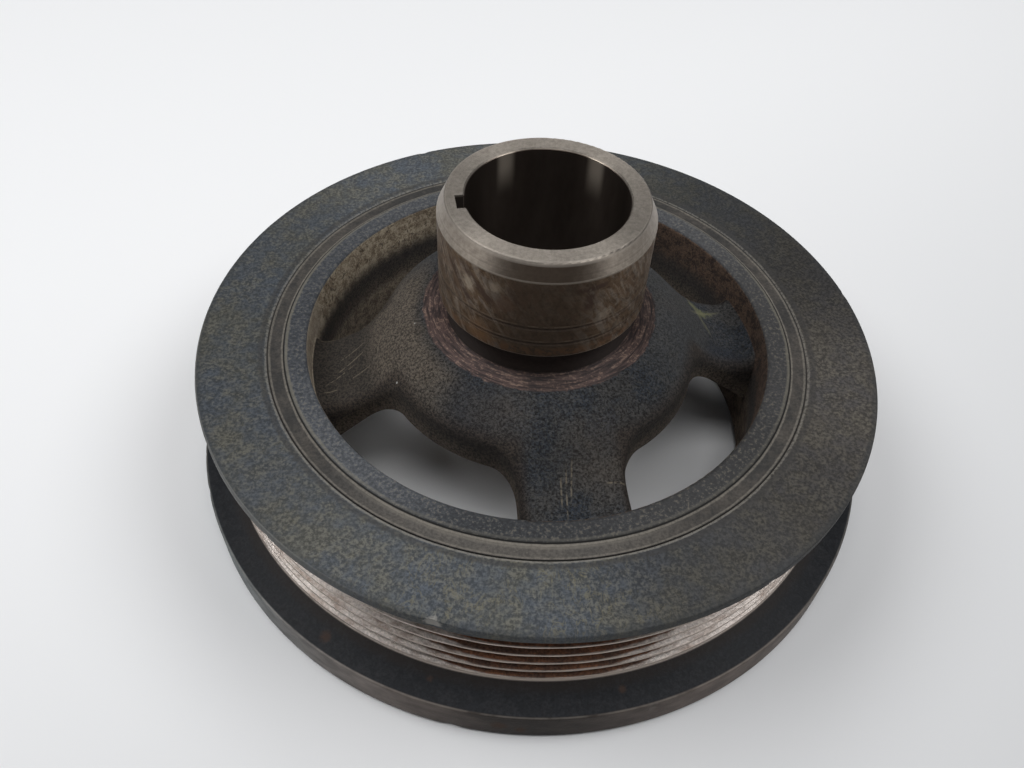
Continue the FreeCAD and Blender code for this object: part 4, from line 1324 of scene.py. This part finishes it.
@dataclass
class RubberRing:
    """The rubber between hub rim and belt ring, a little sunk and uneven at both ends."""

    inner: float = 60.3
    outer: float = 64.0
    top: float = 37.75
    bottom: float = 3.4
    dip: float = 0.35
    steps: int = 480
    finish: DustyRubber = field(default_factory=DustyRubber)

    def outline(self) -> np.ndarray:
        """The rubber's section: a tall strip with a shallow dip in each end.

        Returns:
            Its points in millimetres.
        """
        share = np.linspace(0, 1, 13)
        across = self.inner + share * (self.outer - self.inner)
        sag = self.dip * np.sin(math.pi * share)
        low = np.stack([across, self.bottom + sag], axis=1)
        high = np.stack([across[::-1], self.top - sag], axis=1)
        return np.concatenate([low, high])

    def uneven(self, theta: np.ndarray, radius: np.ndarray,
               height: np.ndarray) -> Tuple[np.ndarray, np.ndarray]:
        """Slow swells of the ends between the two walls, as sums of sines round the ring.

        Args:
            theta: grid of angles.
            radius: grid of radii.
            height: grid of heights.

        Returns:
            The radii as they were, and the changed heights.
        """
        share = (radius - self.inner) / (self.outer - self.inner)
        swell = 0.06 * np.sin(7 * theta) + 0.05 * np.sin(19 * theta + 1.3) + 0.03 * np.sin(41 * theta)
        return radius, height + np.sin(math.pi * share) * swell

    def build(self) -> List[bpy.types.Object]:
        """Make the rubber in place of its plain solid.

        Returns:
            The piece.
        """
        ring = turned_piece("rubber_ring_dusty", self.outline(), self.steps, self.uneven, 40.0)
        dress(ring, self.finish.material(self))
        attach(ring, "root")
        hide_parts("rubber_ring")
        return [ring]


@dataclass
class HubCasting:
    """The spoked hub with rim, seat, neck, seal sleeve and keyed bore."""

    bore: float = 17.5
    sleeve: float = 23.5
    sleeve_top: float = 76.4
    lead_foot: float = 72.6
    neck: float = 22.0
    neck_top: float = 51.7
    seat: float = 27.0
    seat_height: float = 45.3
    boss: float = 24.0
    boss_bottom: float = 14.0
    rim_inner: float = 54.9
    rim_outer: float = 60.3
    rim_top: float = 38.1
    rim_bottom: float = 2.8
    spokes: int = 4
    spoke_azimuth: float = 14.0
    spoke_half: float = 12.0
    window_inner: float = 38.0
    key_azimuth: float = 194.0
    lead_radius: float = 21.9
    wear_high: float = 59.9
    wear_low: float = 55.7
    parting: float = 23.5
    root_height: float = 15.3
    root_rise: float = 0.66
    finish: HubFinish = field(default_factory=HubFinish)

    def on_sleeve(self, azimuth: float, height: float) -> Place:
        """The place on the sleeve's wall at an azimuth in degrees and a height."""
        return around(self.sleeve, azimuth, height)

    def build(self) -> List[bpy.types.Object]:
        """Dress the casting, which keeps its own mesh.

        Returns:
            The piece.
        """
        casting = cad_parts["hub_casting"]
        dress(casting, self.finish.material(self))
        return [casting]


class Lamp(Enum):
    """The soft lamps: where each stands, how wide it is in metres, and its power in watts."""

    LEFT = ((-0.68, 0.02, 1.00), 0.72, 5.8)
    RIGHT = ((0.68, 0.02, 1.00), 0.72, 5.2)
    FRONT_TOP = ((-0.02, -0.22, 1.24), 0.60, 3.8)
    REAR = ((-0.10, 0.95, 0.95), 0.60, 1.6)

    @property
    def place(self) -> Place:
        """Where the lamp stands."""
        return self.value[0]

    @property
    def width(self) -> float:
        """The lamp's width."""
        return self.value[1]

    @property
    def power(self) -> float:
        """The lamp's power."""
        return self.value[2]


@dataclass
class Studio:
    """The pale floor, the lamps and the camera.

    The floor's size is in metres. The eye's place and the shade on the floor are in millimetres.
    """

    focal_pixels: float = 866.2
    image_width: int = 1024
    sensor: float = 36.0
    eye: Place = (0.0, -150.7, 184.1)
    elevation: float = 48.0
    roll: float = 4.54
    yaw: float = -1.41
    floor_size: float = 6.0
    paper: Pair = ((0.925, 0.93, 0.94), (0.57, 0.575, 0.585))
    shade_centre: float = 60.0
    shade_width: float = 420.0
    sky_colour: Colour = (0.93, 0.96, 1.0)
    sky: float = 0.12

    def camera(self) -> None:
        """The scene's camera: right, up and forward are turned by elevation, then yaw, then roll."""
        rise, turn, lean = (math.radians(value) for value in (self.elevation, self.yaw, self.roll))
        forward = np.array([0.0, math.cos(rise), -math.sin(rise)])
        right = np.array([1.0, 0.0, 0.0])
        up = np.cross(right, forward)
        ahead = forward * math.cos(turn) + right * math.sin(turn)
        across = right * math.cos(turn) - forward * math.sin(turn)
        tilted_right = across * math.cos(lean) + up * math.sin(lean)
        tilted_up = up * math.cos(lean) - across * math.sin(lean)
        data = bpy.data.cameras.new("camera")
        data.sensor_width = self.sensor
        data.lens = self.focal_pixels / self.image_width * self.sensor
        data.clip_start = 0.01
        made = bpy.data.objects.new("camera", data)
        bpy.context.scene.collection.objects.link(made)
        turned = np.eye(4)
        turned[:3, 0], turned[:3, 1], turned[:3, 2] = tilted_right, tilted_up, -ahead
        turned[:3, 3] = np.array(self.eye) * MM
        made.matrix_world = Matrix(turned.tolist())
        bpy.context.scene.camera = made

    def floor(self) -> None:
        """A flat pale floor, darker with 0.62 x - 0.80 y, so towards the front and right."""
        half = self.floor_size / 2
        points = np.array([(-half, -half, 0), (half, -half, 0), (half, half, 0), (-half, half, 0)], float)
        made = new_piece("floor", points, np.array([[0, 1, 2, 3]]), 180.0)
        graph = Graph("floor_paper")
        across = graph.x * 0.62 - graph.y * 0.80
        shade = graph.step(across, self.shade_centre, self.shade_width)
        dress(made, Skin(graph, graph.mix(shade, *self.paper), 0.85).material())

    def lamps(self) -> None:
        """The soft lamps, each turned to the origin."""
        for lamp in Lamp:
            data = bpy.data.lights.new(lamp.name.lower(), "AREA")
            data.shape = "DISK"
            data.size = lamp.width
            data.energy = lamp.power
            light = bpy.data.objects.new(lamp.name.lower(), data)
            bpy.context.scene.collection.objects.link(light)
            away = np.array(lamp.place) / np.linalg.norm(lamp.place)
            right = np.cross([0.0, 1.0, 0.0], away)
            right /= np.linalg.norm(right)
            turned = np.eye(4)
            turned[:3, 0], turned[:3, 1], turned[:3, 2] = right, np.cross(away, right), away
            turned[:3, 3] = lamp.place
            light.matrix_world = Matrix(turned.tolist())

    def world(self) -> None:
        """A plain, dim, pale surround."""
        world = bpy.data.worlds.new("surround")
        world.use_nodes = True
        back = world.node_tree.nodes["Background"]
        back.inputs["Color"].default_value = (*self.sky_colour, 1.0)
        back.inputs["Strength"].default_value = self.sky
        bpy.context.scene.world = world

    def build(self) -> None:
        """Set up everything round the object."""
        self.camera()
        self.floor()
        self.lamps()
        self.world()
        bpy.context.scene.view_settings.view_transform = "Standard"


def main() -> None:
    """Build the pieces and the studio."""
    logging.basicConfig(level=logging.INFO, format="%(name)s: %(message)s")
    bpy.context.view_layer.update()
    for part in (HubCasting(), RubberRing(), BeltRing()):
        for piece in part.build():
            LOG.info("%s: %d faces", piece.name, len(piece.data.polygons))
    Studio().build()
    LOG.info("boxes written")


if __name__ == "__main__":
    main()
